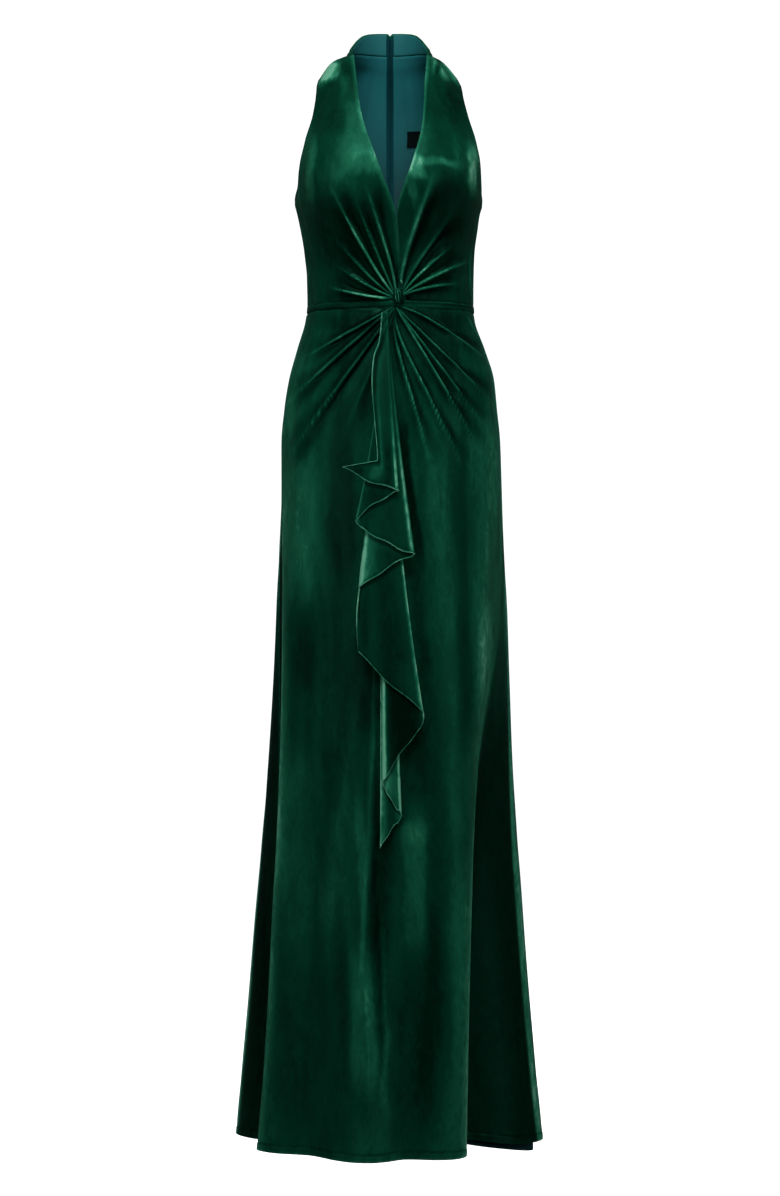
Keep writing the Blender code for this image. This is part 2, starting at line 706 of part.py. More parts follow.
def skirt_levels():
    """Rows of the skirt front: plan angle of the edge (share of the way to the side), its z, and the z in front."""
    rows = [(s, SKIRT_TOP - SEAM, SKIRT_TOP - SEAM - FAN_DROP * s, 0.0) for s in FAN_SHARES]
    for i in range(1, LOWER_ROWS + 1):
        q = i / LOWER_ROWS
        edge = SKIRT_TOP + (HEM_Z - SKIRT_TOP) * q**SEAM_POWER
        centre_top = SKIRT_TOP - FAN_DROP
        centre = centre_top + (HEM_Z - centre_top) * q**CENTRE_POWER
        rows.append((1.0, edge, centre, float(smooth_step(q * 2.2))))
    return rows


def hem_lift(angle, z):
    """How far the hem is drawn up in the deep trough on the wearer's left, and drops a little in front."""
    near = smooth_step((HEM_LIFT_START - z) / (HEM_LIFT_START - HEM_Z))
    away = wrapped(np.degrees(angle))
    return near * sum(rise * np.exp(-(((away - middle) / reach) ** 2)) for middle, reach, rise in HEM_LIFTS)


def skirt_front():
    middle = float(angle_at(np.array(SKIRT_FOCUS[0]), np.array(SKIRT_TOP)))
    seam = math.pi / 2 - seam_angle(SEAM, WAIST_Z)
    angles, heights, halves = [], [], []
    for side in (-1, 1):
        stops = fan_stops(SKIRT_GATHERS[side], 90.0, 6.0)
        u = 1 - stops / 90.0
        halves.append((side, u if side < 0 else u[::-1][1:]))
    for edge_share, edge_z, centre_z, level in skirt_levels():
        row_angle, row_z = [], []
        for side, u in halves:
            bend = (1 - level) * np.sin(u * math.pi / 2) + level * u
            drop = (1 - level) * (1 - np.cos(u * math.pi / 2)) + level * u**2
            reach = (side * seam - middle) * edge_share
            row_angle.append(middle + reach * bend)
            row_z.append(centre_z + (edge_z - centre_z) * drop)
        angles.append(np.concatenate(row_angle))
        heights.append(np.concatenate(row_z))
    angle, z = np.array(angles), np.array(heights)
    return cloth("skirt_front", "velvet", angle, z + hem_lift(angle, z), VELVET, rise=skirt_rise)


def skirt_back(side):
    name = "skirt_back_left" if side > 0 else "skirt_back_right"
    heights = [SKIRT_TOP - SEAM] + [row[1] for row in skirt_levels()[len(FAN_SHARES):]]
    angles = []
    columns = 18
    for z in heights:
        outer = 90.0 + math.degrees(seam_angle(SEAM, WAIST_Z))
        inner = 180.0 - math.degrees(seam_angle(SEAM, WAIST_Z))
        angles.append(spread(inner, outer, columns))
    angle = side * np.radians(np.array(angles))
    z = np.broadcast_to(np.array(heights)[:, None], angle.shape)
    return cloth(name, "velvet", angle, z + hem_lift(angle, z), VELVET)


def lining_radius(angle, z):
    """The lining spans the velvet's troughs: the least radius within a window, and an inset."""
    window = np.radians(spread(-LINING_WINDOW_DEG, LINING_WINDOW_DEG, 4))
    least = np.min([radius(angle + turn, z) for turn in window], axis=0)
    return least - LINING_INSET


def skirt_lining():
    columns = 36
    rows = 8
    share = np.arange(rows + 1) / rows
    top = SKIRT_TOP - LINING_TOP_DROP
    angle = np.radians(360.0 * np.arange(columns) / columns)
    middle, reach, drop = LINING_DIP
    hem = LINING_HEM_Z - drop * np.exp(-((wrapped(np.degrees(angle) - middle) / reach) ** 2))
    z = top + (hem - top) * share[:, None] ** 1.15
    angle = np.broadcast_to(angle, z.shape)
    return cloth("skirt_lining", "satin", angle, z, SATIN, ring=True, base=lining_radius)


# ---- Cascade -------------------------------------------------------------------------------------------------

CASCADE_SHARES = (0.0, 0.06, 0.13, 0.22, 0.32, 0.43, 0.54, 0.65, 0.76, 0.86, 0.93, 0.97, 1.0)


def skirt_face(x, z):
    """y of the outer face of the skirt front at x, z."""
    angle = angle_at(x, z)
    out = radius(angle, z) + skirt_rise(angle, z) + VELVET
    return AXIS_Y - out * np.cos(angle)


def cascade_path(share):
    """One level of the cascade, as rows of x, z and layer, along its free edge's turns."""
    top_x, top_z = CASCADE_TOP
    side_x = float(smooth_through([r[0] for r in SIDE_EDGE], [r[1] for r in SIDE_EDGE])(share))
    pitch = CASCADE_PITCH_TOP + (CASCADE_PITCH_EDGE - CASCADE_PITCH_TOP) * share
    round_x = 0.45 * pitch
    ends = []
    for number, (x, z, x_out, z_out, side, power) in enumerate(CASCADE_TURNS):
        start = top_x + side * CASCADE_HALF
        bow = share**power
        x_in = start + (x - start) * bow
        x_leave = start + (x_out - start) * bow
        if number == 0:
            x_in = x_leave = side_x
        if number == CASCADE_LONG_TURN:
            late_from, hurry = CASCADE_LATE
            late = start + (x_out - start) * share**3 * (1 + hurry * (1 - share))
            x_leave = max(late if share > late_from else x_in, x_out)
        ends.append((x_in, top_z + (z - top_z) * share, x_leave, top_z + (z_out - top_z) * share, side))
    path = [(ends[0][2], ends[0][3], 0.0)]
    for layer in range(len(ends) - 1):
        x1, z1, side1 = ends[layer][2], ends[layer][3], ends[layer][4]
        x2, z2, side2 = ends[layer + 1][0], ends[layer + 1][1], ends[layer + 1][4]
        first = x1 - (side1 * round_x if layer else 0.0)
        last = x2 - (side2 * round_x if layer < len(ends) - 2 else 0.0)
        if layer:
            path.append((first, z1, layer))
        for part in (0.34, 0.67):
            path.append((first + (last - first) * part, z1 + (z2 - z1) * part, layer))
        path.append((last, z2, layer))
        if layer < len(ends) - 2:
            x3, z3 = ends[layer + 1][2], ends[layer + 1][3]
            tip = max(x2, x3) if side2 > 0 else min(x2, x3)
            path.append((tip, (z2 + z3) / 2, layer + 0.5))
    return np.array(path), pitch


def front_cascade():
    middle = []
    layers = len(CASCADE_TURNS) - 2
    for share in CASCADE_SHARES:
        path, pitch = cascade_path(share)
        x, z, layer = path.T
        y = skirt_face(x, z) - CASCADE_CLEAR - (layers - layer) * pitch
        middle.append(np.stack([x, y, z], axis=1))
    middle = np.array(middle)
    along = np.gradient(middle, axis=1)
    down = np.gradient(middle, axis=0)
    normal = np.cross(along, down)
    normal /= np.linalg.norm(normal, axis=-1, keepdims=True)
    return wall("front_cascade", "velvet", middle - normal * RUFFLE / 2, middle + normal * RUFFLE / 2)


# ---- Zip and label -------------------------------------------------------------------------------------------


def zip_tape(side):
    name = "zip_tape_left" if side > 0 else "zip_tape_right"
    below = [row[1] for row in skirt_levels()[len(FAN_SHARES):] if row[1] > ZIP_END_Z]
    heights = [0.0095, 0.0, -0.0150, -0.026, *reversed(BACK_HEIGHTS), WAIST_Z, SKIRT_TOP, *below]
    heights = np.array(heights)
    inner = seam_angle(SEAM, heights)
    outer = seam_angle(ZIP_HALF - TAPE_INSET, heights)
    angle = side * (math.pi - np.stack([inner, outer], axis=1))
    z = np.broadcast_to(heights[:, None], angle.shape)
    return cloth(name, "tape", angle, z, SATIN * 0.9, -(SKIN_GAP + SATIN * 0.9))


def neck_label():
    x, z = LABEL_CENTRE
    wide, tall = LABEL_SIZE
    level = z + spread(-tall / 2, tall / 2, 2)
    across = x + spread(-wide / 2, wide / 2, 4)
    angles = []
    for height in level:
        far = radius(math.pi, height)
        angles.append([math.pi - math.asin(value / far) for value in across])
    angle = np.array(angles)
    heights = np.broadcast_to(level[:, None], angle.shape)
    lift = -(2 * SKIN_GAP + SATIN + LABEL_THICK + LABEL_CLEAR)
    return cloth("neck_label", "label", angle, heights, LABEL_THICK, lift)


def union(first, second):
    """Joins two closed solids into the first and drops the second."""
    cut = first.modifiers.new("join", "BOOLEAN")
    cut.operation = "UNION"
    cut.solver = "EXACT"
    cut.object = second
    bpy.context.view_layer.update()
    graph = bpy.context.evaluated_depsgraph_get()
    joined = bpy.data.meshes.new_from_object(first.evaluated_get(graph))
    first.modifiers.clear()
    first.data = joined
    bpy.data.objects.remove(second)
    return first


def block(name, low, high, bevel):
    shape = bmesh.new()
    bmesh.ops.create_cube(shape, size=1.0)
    low, high = np.array(low), np.array(high)
    for vertex in shape.verts:
        vertex.co = tuple((low + high) / 2 + np.array(vertex.co) * (high - low))
    if bevel:
        bmesh.ops.bevel(shape, geom=shape.edges[:], offset=bevel, segments=2, profile=0.5, affect="EDGES")
    return from_shape(name, shape)


def from_shape(name, shape):
    mesh = bpy.data.meshes.new(name)
    bmesh.ops.recalc_face_normals(shape, faces=shape.faces)
    shape.to_mesh(mesh)
    shape.free()
    mesh.materials.append(material("enamel"))
    made = bpy.data.objects.new(name, mesh)
    bpy.context.scene.collection.objects.link(made)
    return made


def slider_face():
    """y of the slider's inner face, just clear of the neckband, and of its outer face."""
    inner = AXIS_Y + float(radius(np.array(math.pi), np.array(SLIDER_Z - SLIDER_SIZE[2] / 2)))
    inner += VELVET + 2 * SKIN_GAP
    return inner, inner + SLIDER_SIZE[1]


def zip_slider():
    wide, _, tall = SLIDER_SIZE
    inner, outer = slider_face()
    low = (-wide / 2, inner, SLIDER_Z - tall / 2)
    high = (wide / 2, outer, SLIDER_Z + tall / 2)
    slider = block("zip_slider", low, high, 0.0007)
    bar_y = outer + PULL_BAR_OFFSET
    for side in (-1, 1):
        ends = sorted((side * LUG_INNER, side * LUG_OUTER))
        lug = block(
            "lug",
            (ends[0], outer - 0.0008, SLIDER_Z - 0.0011),
            (ends[1], bar_y + 0.0009, SLIDER_Z + 0.0011),
            0.0002,
        )
        slider = union(slider, lug)
    shape = bmesh.new()
    thick, long = PULL_BAR_RADIUS, 2 * LUG_INNER + 0.0008
    bmesh.ops.create_cone(shape, cap_ends=True, segments=12, radius1=thick, radius2=thick, depth=long)
    for vertex in shape.verts:
        x, y, z = vertex.co
        vertex.co = (z, bar_y + y, SLIDER_Z + x)
    slider = union(slider, from_shape("bar", shape))
    slider.data.shade_smooth()
    slider.data.set_sharp_from_angle(angle=math.radians(35))
    return slider


def zip_pull():
    """The pull tab, hung on the slider's bar. Its origin is on the bar, the hinge's axis."""
    bar_y = slider_face()[1] + PULL_BAR_OFFSET
    inner, outer = PULL_EYE
    segments = 20
    shape = bmesh.new()
    rings = []
    for x in (-PULL_EYE_HALF, PULL_EYE_HALF):
        for size in (inner, outer):
            turn = [2 * math.pi * i / segments for i in range(segments)]
            rings.append([shape.verts.new((x, size * math.cos(t), size * math.sin(t))) for t in turn])
    near_in, near_out, far_in, far_out = rings
    for i in range(segments):
        j = (i + 1) % segments
        shape.faces.new((near_in[i], near_in[j], near_out[j], near_out[i]))
        shape.faces.new((far_in[i], far_out[i], far_out[j], far_in[j]))
        shape.faces.new((near_in[i], far_in[i], far_in[j], near_in[j]))
        shape.faces.new((near_out[i], near_out[j], far_out[j], far_out[i]))
    eye = from_shape("zip_pull", shape)
    shape = bmesh.new()
    thick = PULL_THICK / 2
    profile = [(down * PULL_LENGTH, half * PULL_WIDTH) for down, half in PULL_OUTLINE]
    front = [shape.verts.new((half, -thick, -drop)) for drop, half in profile]
    front += [shape.verts.new((-half, -thick, -drop)) for drop, half in reversed(profile)]
    back = [shape.verts.new((v.co.x, thick, v.co.z)) for v in front]
    shape.faces.new(front)
    shape.faces.new(list(reversed(back)))
    for i in range(len(front)):
        j = (i + 1) % len(front)
        shape.faces.new((front[i], back[i], back[j], front[j]))
    tab = from_shape("tab", shape)
    pull = union(eye, tab)
    pull.location = (0.0, bar_y, SLIDER_Z)
    pull.data.shade_smooth()
    pull.data.set_sharp_from_angle(angle=math.radians(35))
    return pull


# ---- The gown ------------------------------------------------------------------------------------------------


def main():
    for thing in list(bpy.data.objects):
        bpy.data.objects.remove(thing)
    for side, word in ((1, "left"), (-1, "right")):
        bodice_front(side)
        back_piece("bodice_back_" + word, "velvet", side, SEAM, VELVET, 0.0, 0.0)
        lining_lift = -(SKIN_GAP + SATIN)
        back_piece("back_lining_" + word, "satin", side, ZIP_HALF, SATIN, lining_lift, LINING_EDGE)
        neckband("neckband_" + word, "velvet", side, SEAM, NECKBAND_END_DEG, VELVET, 0.0, 0.0)
        facing_end = NECKBAND_END_DEG + FACING_SHORT_DEG
        neckband("neck_facing_" + word, "satin", side, ZIP_HALF, facing_end, SATIN, lining_lift, LINING_EDGE)
        split = side * BAND_SPLIT_DEG + BAND_SPLIT_HALF_DEG
        waistband("waistband_front_" + word, side, split, 90.0 - BAND_SEAM_DEG, 14)
        waistband("waistband_back_" + word, side, 90.0 + BAND_SEAM_DEG, 180.0 - 2 * BAND_SEAM_DEG, 12)
        skirt_back(side)
        zip_tape(side)
    front_twist()
    skirt_front()
    front_cascade()
    skirt_lining()
    neck_label()
    zip_slider()
    zip_pull()


main()
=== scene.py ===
import math

import bpy
import numpy as np
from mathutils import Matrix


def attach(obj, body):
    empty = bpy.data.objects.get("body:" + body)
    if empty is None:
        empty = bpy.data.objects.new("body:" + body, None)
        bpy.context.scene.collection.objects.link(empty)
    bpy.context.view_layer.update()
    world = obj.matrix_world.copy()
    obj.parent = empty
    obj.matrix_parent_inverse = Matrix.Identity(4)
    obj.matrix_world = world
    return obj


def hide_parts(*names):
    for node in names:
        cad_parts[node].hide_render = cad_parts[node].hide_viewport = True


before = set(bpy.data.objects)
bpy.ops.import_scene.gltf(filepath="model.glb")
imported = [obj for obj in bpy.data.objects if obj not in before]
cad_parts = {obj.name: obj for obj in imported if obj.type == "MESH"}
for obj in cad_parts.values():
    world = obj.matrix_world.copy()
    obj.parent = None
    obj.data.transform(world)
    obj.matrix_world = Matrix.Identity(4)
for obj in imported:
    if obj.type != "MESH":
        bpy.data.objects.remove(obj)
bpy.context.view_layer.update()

# ---- Driving sizes (metres; the same as in the frame's own source) -------------------------------

SIDE_WORDS = {1: "left", -1: "right"}  # by the sign of x; left is the wearer's

AXIS_Y = -0.055
WAIST_Z = -0.37
HEM_Z = -1.52
UNDERARM_Z = -0.231
SHOULDER_TIP_Z = -0.05
ZIP_END_Z = -0.59

VELVET = 0.0014
SATIN = 0.0008
RUFFLE = 0.0011
SEAM = 0.00022
BAND_HEIGHT = 0.009
ZIP_HALF = 0.0052
NECKBAND_END_DEG = 59.0

SECTION_COLUMNS = ("z", "right", "left", "front", "back", "square")
SECTIONS = (
    (0.017, 0.049, 0.0472, 0.052, 0.0535, 2),
    (0, 0.0508, 0.0488, 0.054, 0.055, 2),
    (-0.016, 0.0536, 0.0528, 0.057, 0.057, 2),
    (-0.0235, 0.0592, 0.058, 0.06, 0.0585, 2),
    (-0.0285, 0.0645, 0.0622, 0.0627, 0.0594, 2),
    (-0.033, 0.0765, 0.07, 0.0652, 0.0606, 2),
    (-0.04, 0.0848, 0.077, 0.069, 0.063, 2.05),
    (-0.05, 0.0918, 0.0856, 0.074, 0.066, 2.1),
    (-0.066, 0.1018, 0.097, 0.082, 0.071, 2.1),
    (-0.0934, 0.117, 0.116, 0.096, 0.08, 2.1),
    (-0.1236, 0.126, 0.127, 0.114, 0.087, 2.1),
    (-0.1523, 0.131, 0.1315, 0.132, 0.0905, 2.1),
    (-0.18, 0.131, 0.1305, 0.144, 0.0915, 2.15),
    (-0.21, 0.13, 0.1285, 0.149, 0.089, 2.2),
    (-0.231, 0.13, 0.126, 0.146, 0.086, 2.2),
    (-0.241, 0.1275, 0.123, 0.143, 0.084, 2.2),
    (-0.263, 0.1228, 0.12, 0.134, 0.079, 2.15),
    (-0.295, 0.1175, 0.116, 0.12, 0.071, 2.1),
    (-0.33, 0.1135, 0.1145, 0.1095, 0.0645, 2.05),
    (-0.37, 0.113, 0.1145, 0.105, 0.062, 2.05),
    (-0.388, 0.115, 0.116, 0.106, 0.064, 2.05),
    (-0.429, 0.127, 0.1297, 0.113, 0.076, 2.1),
    (-0.47, 0.138, 0.1421, 0.1215, 0.09, 2.15),
    (-0.5116, 0.1449, 0.1463, 0.128, 0.099, 2.15),
    (-0.553, 0.149, 0.1504, 0.132, 0.104, 2.2),
    (-0.636, 0.1506, 0.1532, 0.136, 0.107, 2.2),
    (-0.719, 0.1559, 0.1586, 0.1385, 0.109, 2.2),
    (-0.8, 0.1606, 0.1648, 0.1407, 0.1118, 2.2),
    (-0.884, 0.1636, 0.1687, 0.143, 0.115, 2.2),
    (-1.05, 0.1722, 0.1752, 0.148, 0.123, 2.15),
    (-1.215, 0.182, 0.1832, 0.153, 0.135, 2.15),
    (-1.381, 0.1922, 0.1933, 0.157, 0.15, 2.15),
    (-1.52, 0.2036, 0.204, 0.161, 0.165, 2.15),
)

# columns: angle, z, angle_reach, z_reach, rise
CUPS = (
    (-38, -0.185, 21, 0.055, 0.012),
    (38, -0.185, 21, 0.055, 0.012),
)
ARMHOLE_COLUMNS = ("z", "front", "back")
ARMHOLE = (
    (-0.05, 90, 90),
    (-0.058, 82, 97),
    (-0.066, 76, 102),
    (-0.0934, 63, 112),
    (-0.1236, 58, 117),
    (-0.1523, 57, 117),
    (-0.18, 58.8, 113),
    (-0.21, 65.5, 105),
    (-0.224, 77, 97),
    (-0.231, 90, 90),
)

BAND_COLUMNS = ("angle", "top", "seam")
NECKBAND = (
    (58, -0.0212, -0.0278),
    (75, -0.0188, -0.0262),
    (92, -0.0142, -0.0235),
    (107, -0.0066, -0.019),
    (123, 0.0034, -0.0164),
    (137, 0.0108, -0.0154),
    (150, 0.0142, -0.0151),
    (165, 0.0157, -0.015),
    (176, 0.016, -0.015),
    (180, 0.0128, -0.015),
)

# columns: x, z
NECKLINE = {
    -1: (
        (-0.0497, -0.0278), (-0.0452, -0.067), (-0.0422, -0.099), (-0.0352, -0.134), (-0.0228, -0.172),
        (-0.0094, -0.208), (0.003, -0.24), (0.0078, -0.256), (0.0104, -0.287), (0.0128, -0.319),
        (0.0136, -0.352),
    ),
    1: (
        (0.0505, -0.0278), (0.0478, -0.067), (0.0462, -0.105), (0.0419, -0.1434), (0.0295, -0.1887),
        (0.0187, -0.2193), (0.0112, -0.2427), (0.0094, -0.256), (0.012, -0.287), (0.0136, -0.319),
        (0.0148, -0.352),
    ),
}
# columns: start_angle, hem_angle, start_z, front_reach, back_reach, rise
SKIRT_FOLDS = (
    (8, 8, -0.8, 9, 11, -0.016),
    (-43, -43, -0.6, 15, 15, -0.024),
    (38, 36, -0.7, 12, 12, 0.004),
    (-78.5, -85, -0.5, 11, 12, -0.051),
    (-112, -112, -0.7, 13, 13, 0.028),
    (72, 57, -0.62, 16, 22, -0.078),
    (98, 97, -0.8, 12, 13, 0.011),
    (127, 128, -0.62, 11, 11, -0.032),
    (152, 153, -0.74, 10, 10, -0.03),
    (180, 180, -0.7, 9, 9, -0.026),
    (-154, -153, -0.66, 10, 10, -0.033),
    (-133, -132, -0.8, 9, 9, -0.026),
)
HEM_LIFT_START = -1.25
# columns: plan angle, reach, rise
HEM_LIFTS = (
    (62, 12, 0.011),
    (-14, 16, -0.003),
)
LINING_HEM_Z = -1.51
LINING_DIP = (104.0, 32.0, 0.028)
LINING_INSET = 0.006
LINING_TOP_DROP = 0.014
LINING_WINDOW_DEG = 8.0

# Gathers: ridges that run out from a focus. near and far are their angles from level, reach how far they run,
# gentle and steep the widths of their two flanks at full reach; turn says which flank is the steep one.
# line is the half width of the painted highlight along the crest, crest_highlight how bright it is.
BODICE_FOCUS = {-1: (0.008, -0.3665), 1: (0.015, -0.3645)}
# columns: near, far, reach, height, gentle, steep, turn, line, crest_highlight
BODICE_GATHERS = {
    -1: (
        (-6, 15.5, 0.098, 0.006, 0.011, 0.004, 1, 0.0011, 1),
        (14, 34.5, 0.098, 0.0046, 0.009, 0.0034, 1, 0.0008, 0.72),
        (30, 48, 0.12, 0.004, 0.009, 0.0034, 1, 0.0009, 0.55),
        (49, 60, 0.18, 0.0062, 0.012, 0.0042, 1, 0.0012, 0.9),
        (66, 67.5, 0.15, 0.0046, 0.008, 0.0036, 1, 0.001, 0.62),
        (88, 73.6, 0.166, 0.0062, 0.011, 0.0046, 1, 0.0013, 0.96),
    ),
    1: (
        (28, 10.5, 0.088, 0.0044, 0.009, 0.0036, 1, 0.0014, 0.62),
        (40, 28.5, 0.114, 0.0062, 0.011, 0.004, 1, 0.0013, 0.84),
        (60, 42.5, 0.106, 0.0046, 0.009, 0.0034, 1, 0.0009, 0.86),
        (76, 56.5, 0.146, 0.0052, 0.01, 0.0046, -1, 0.0022, 0.6),
        (99, 73.8, 0.186, 0.0066, 0.011, 0.0075, -1, 0.0034, 0.72),
    ),
}
SKIRT_FOCUS = (0.007, -0.376)
SKIRT_GATHERS = {
    -1: (
        (38, 28.4, 0.145, 0.006, 0.012, 0.0034, 1, 0.0009, 0.66),
        (45, 42, 0.208, 0.0064, 0.014, 0.0036, 1, 0.0009, 0.62),
        (62, 55.5, 0.28, 0.0066, 0.016, 0.004, 1, 0.0009, 0.6),
        (80, 68, 0.2, 0.003, 0.014, 0.006, 1, 0.0014, 0.16),
    ),
    1: (
        (15, 31, 0.148, 0.006, 0.01, 0.0034, -1, 0.0009, 0.72),
        (52, 44.5, 0.194, 0.0056, 0.01, 0.0034, -1, 0.0009, 0.66),
        (61, 53.5, 0.218, 0.0052, 0.009, 0.0034, -1, 0.0011, 0.62),
        (65, 59.8, 0.24, 0.0056, 0.009, 0.0036, -1, 0.0012, 0.72),
        (99, 67.2, 0.25, 0.0058, 0.011, 0.0038, -1, 0.0014, 0.78),
        (104, 77.3, 0.232, 0.0058, 0.012, 0.004, -1, 0.0012, 0.82),
    ),
}
GATHER_BEND = 0.06  # how soon a ridge settles from its near to its far angle

# Smoother ridges, as the frame has them, that the cascade lies clear of. columns: angle, reach, height, width
SKIRT_SWELLS = {
    -1: (
        (30, 0.12, 0.005, 4.4), (43, 0.185, 0.0052, 4.2), (55.5, 0.25, 0.0056, 4),
        (68, 0.15, 0.003, 4),
    ),
    1: (
        (27.6, 0.14, 0.005, 4.2), (43.5, 0.18, 0.0054, 3.8), (53, 0.205, 0.0046, 3.2),
        (61, 0.225, 0.005, 3.2), (69, 0.23, 0.0054, 3.4), (78, 0.205, 0.005, 3.4),
    ),
}

# Soft folds and creases: from one plan angle and height to another, half width, rise (a trough is negative)
# and painted light: positive is a painted highlight or sheen, negative a painted shade.
# columns: top_angle, top_z, low_angle, low_z, half_width, rise, painted_light
SOFT_FOLDS = (
    (-17, -0.9, -37, -1.26, 0.015, 0.0034, 0.12),
    (-30, -1.08, -40, -1.33, 0.017, 0.002, 0.04),
    (31, -0.54, 28, -0.9, 0.02, 0.003, 0.14),
    (31, -0.9, 36, -1.48, 0.02, 0.0026, 0.16),
    (24, -0.88, 26, -1.4, 0.016, 0, -0.16),
    (-53, -0.46, -51, -0.79, 0.026, 0.0032, 0.2),
    (-44, -0.95, -50, -1.5, 0.024, 0.0016, -0.02),
    (-50, -0.8, -50, -1, 0.02, 0, -0.18),
    (-27, -0.56, -25, -1.02, 0.022, -0.004, -0.42),
    (46, -0.56, 42, -1, 0.018, -0.004, -0.3),
    (-3, -1, -7, -1.3, 0.016, -0.003, -0.5),
    (22, -1.16, 20, -1.48, 0.011, -0.002, -0.36),
    (76, -0.96, 72, -1.6, 0.034, 0, -0.34),
    (58, -0.5, 60, -0.94, 0.04, 0, 0.44),
    (82, -0.44, 84, -0.74, 0.016, 0, 0.14),
    (-74, -0.44, -80, -0.96, 0.034, 0, 0.46),
    (91, -0.86, 92, -1.64, 0.012, 0, 0.8),
    (-96, -0.8, -97.5, -1.64, 0.02, 0, -0.9),
    (-101, -0.84, -107.5, -1.64, 0.006, 0, 1.4),
    (57, -0.78, 53, -1.06, 0.024, 0, 0.36),
    (84, -0.25, 84, -0.366, 0.016, 0, 0.26),
    (91, -0.24, 91, -0.42, 0.011, 0, 0.8),
    (-91, -0.24, -91, -0.42, 0.011, 0, 0.8),
    (88, -0.4, 91, -0.9, 0.015, 0, 0.84),
    (-88, -0.4, -91, -0.78, 0.015, 0, 0.88),
    (-22, -0.83, -24, -1.27, 0.072, 0, -0.15),
    (20, -0.83, 18, -1.22, 0.042, 0, -0.1),
    (-24, -1.18, -24, -1.5, 0.013, -0.0018, -0.3),
    (-7, -0.86, -14.5, -1.3, 0.0032, 0.0026, 0.34),
    (-14, -1.24, -14, -1.44, 0.015, 0.0034, 0.22),
    (15, -1.04, 13, -1.24, 0.013, 0.003, 0.14),
    (11, -1.3, 9, -1.47, 0.009, 0.0022, 0.16),
    (64, -0.42, 70, -0.7, 0.014, 0.0024, 0.08),
    (-72, -0.44, -76, -0.76, 0.015, 0.0024, 0.08),
    (112, -0.43, 118, -0.9, 0.02, 0.0034, 0.26),
    (137, -0.46, 140, -1.15, 0.015, 0.0036, 0.34),
    (166, -0.44, 167, -1, 0.013, 0.003, 0.28),
    (-166, -0.43, -168, -0.96, 0.014, 0.0032, 0.28),
    (-143, -0.45, -143, -1.2, 0.016, 0.0038, 0.34),
    (-118, -0.43, -121, -0.86, 0.019, 0.0032, 0.26),
    (151, -0.48, 153, -1.24, 0.012, -0.003, -0.55),
    (-155, -0.5, -155, -1.2, 0.012, -0.003, -0.55),
    (127, -0.4, 128, -1, 0.011, -0.0026, -0.5),
    (-131, -0.4, -131, -1.02, 0.011, -0.0026, -0.5),
    (128, -1.05, 132, -1.56, 0.02, 0.003, 0.26),
    (-128, -1.05, -133, -1.56, 0.02, 0.003, 0.26),
    (158, -1.16, 160, -1.56, 0.017, 0.0026, 0.24),
    (-164, -1.1, -165, -1.56, 0.018, 0.0026, 0.24),
    (120, -0.25, 132, -0.366, 0.007, 0.0024, 0.24),
    (-122, -0.245, -131, -0.366, 0.0075, 0.0026, 0.24),
    (150, -0.28, 147, -0.366, 0.007, 0.0018, 0.3),
    (-150, -0.27, -146, -0.366, 0.007, 0.0018, 0.3),
    (66, -0.29, 72, -0.362, 0.003, 0.002, 0.42),
    (66, -0.388, 78, -0.425, 0.0028, 0.0018, 0.4),
    (-70, -0.31, -78, -0.364, 0.004, 0.0016, 0.16),
    (-50, -0.034, -37, -0.09, 0.004, 0.0026, 0.2),
    (-60, -0.036, -54, -0.074, 0.004, -0.0022, -0.4),
    (59, -0.034, 46, -0.086, 0.004, 0.0026, 0.2),
    (69, -0.036, 61, -0.078, 0.004, -0.0022, -0.4),
    (-74, -0.03, -64, -0.078, 0.011, 0.002, 0.34),
    (78, -0.03, 70, -0.08, 0.011, 0.0018, 0.3),
    (120, -0.03, 126, -0.09, 0.006, 0.0016, 0.14),
    (-118, -0.03, -124, -0.085, 0.006, 0.0018, 0.14),
)
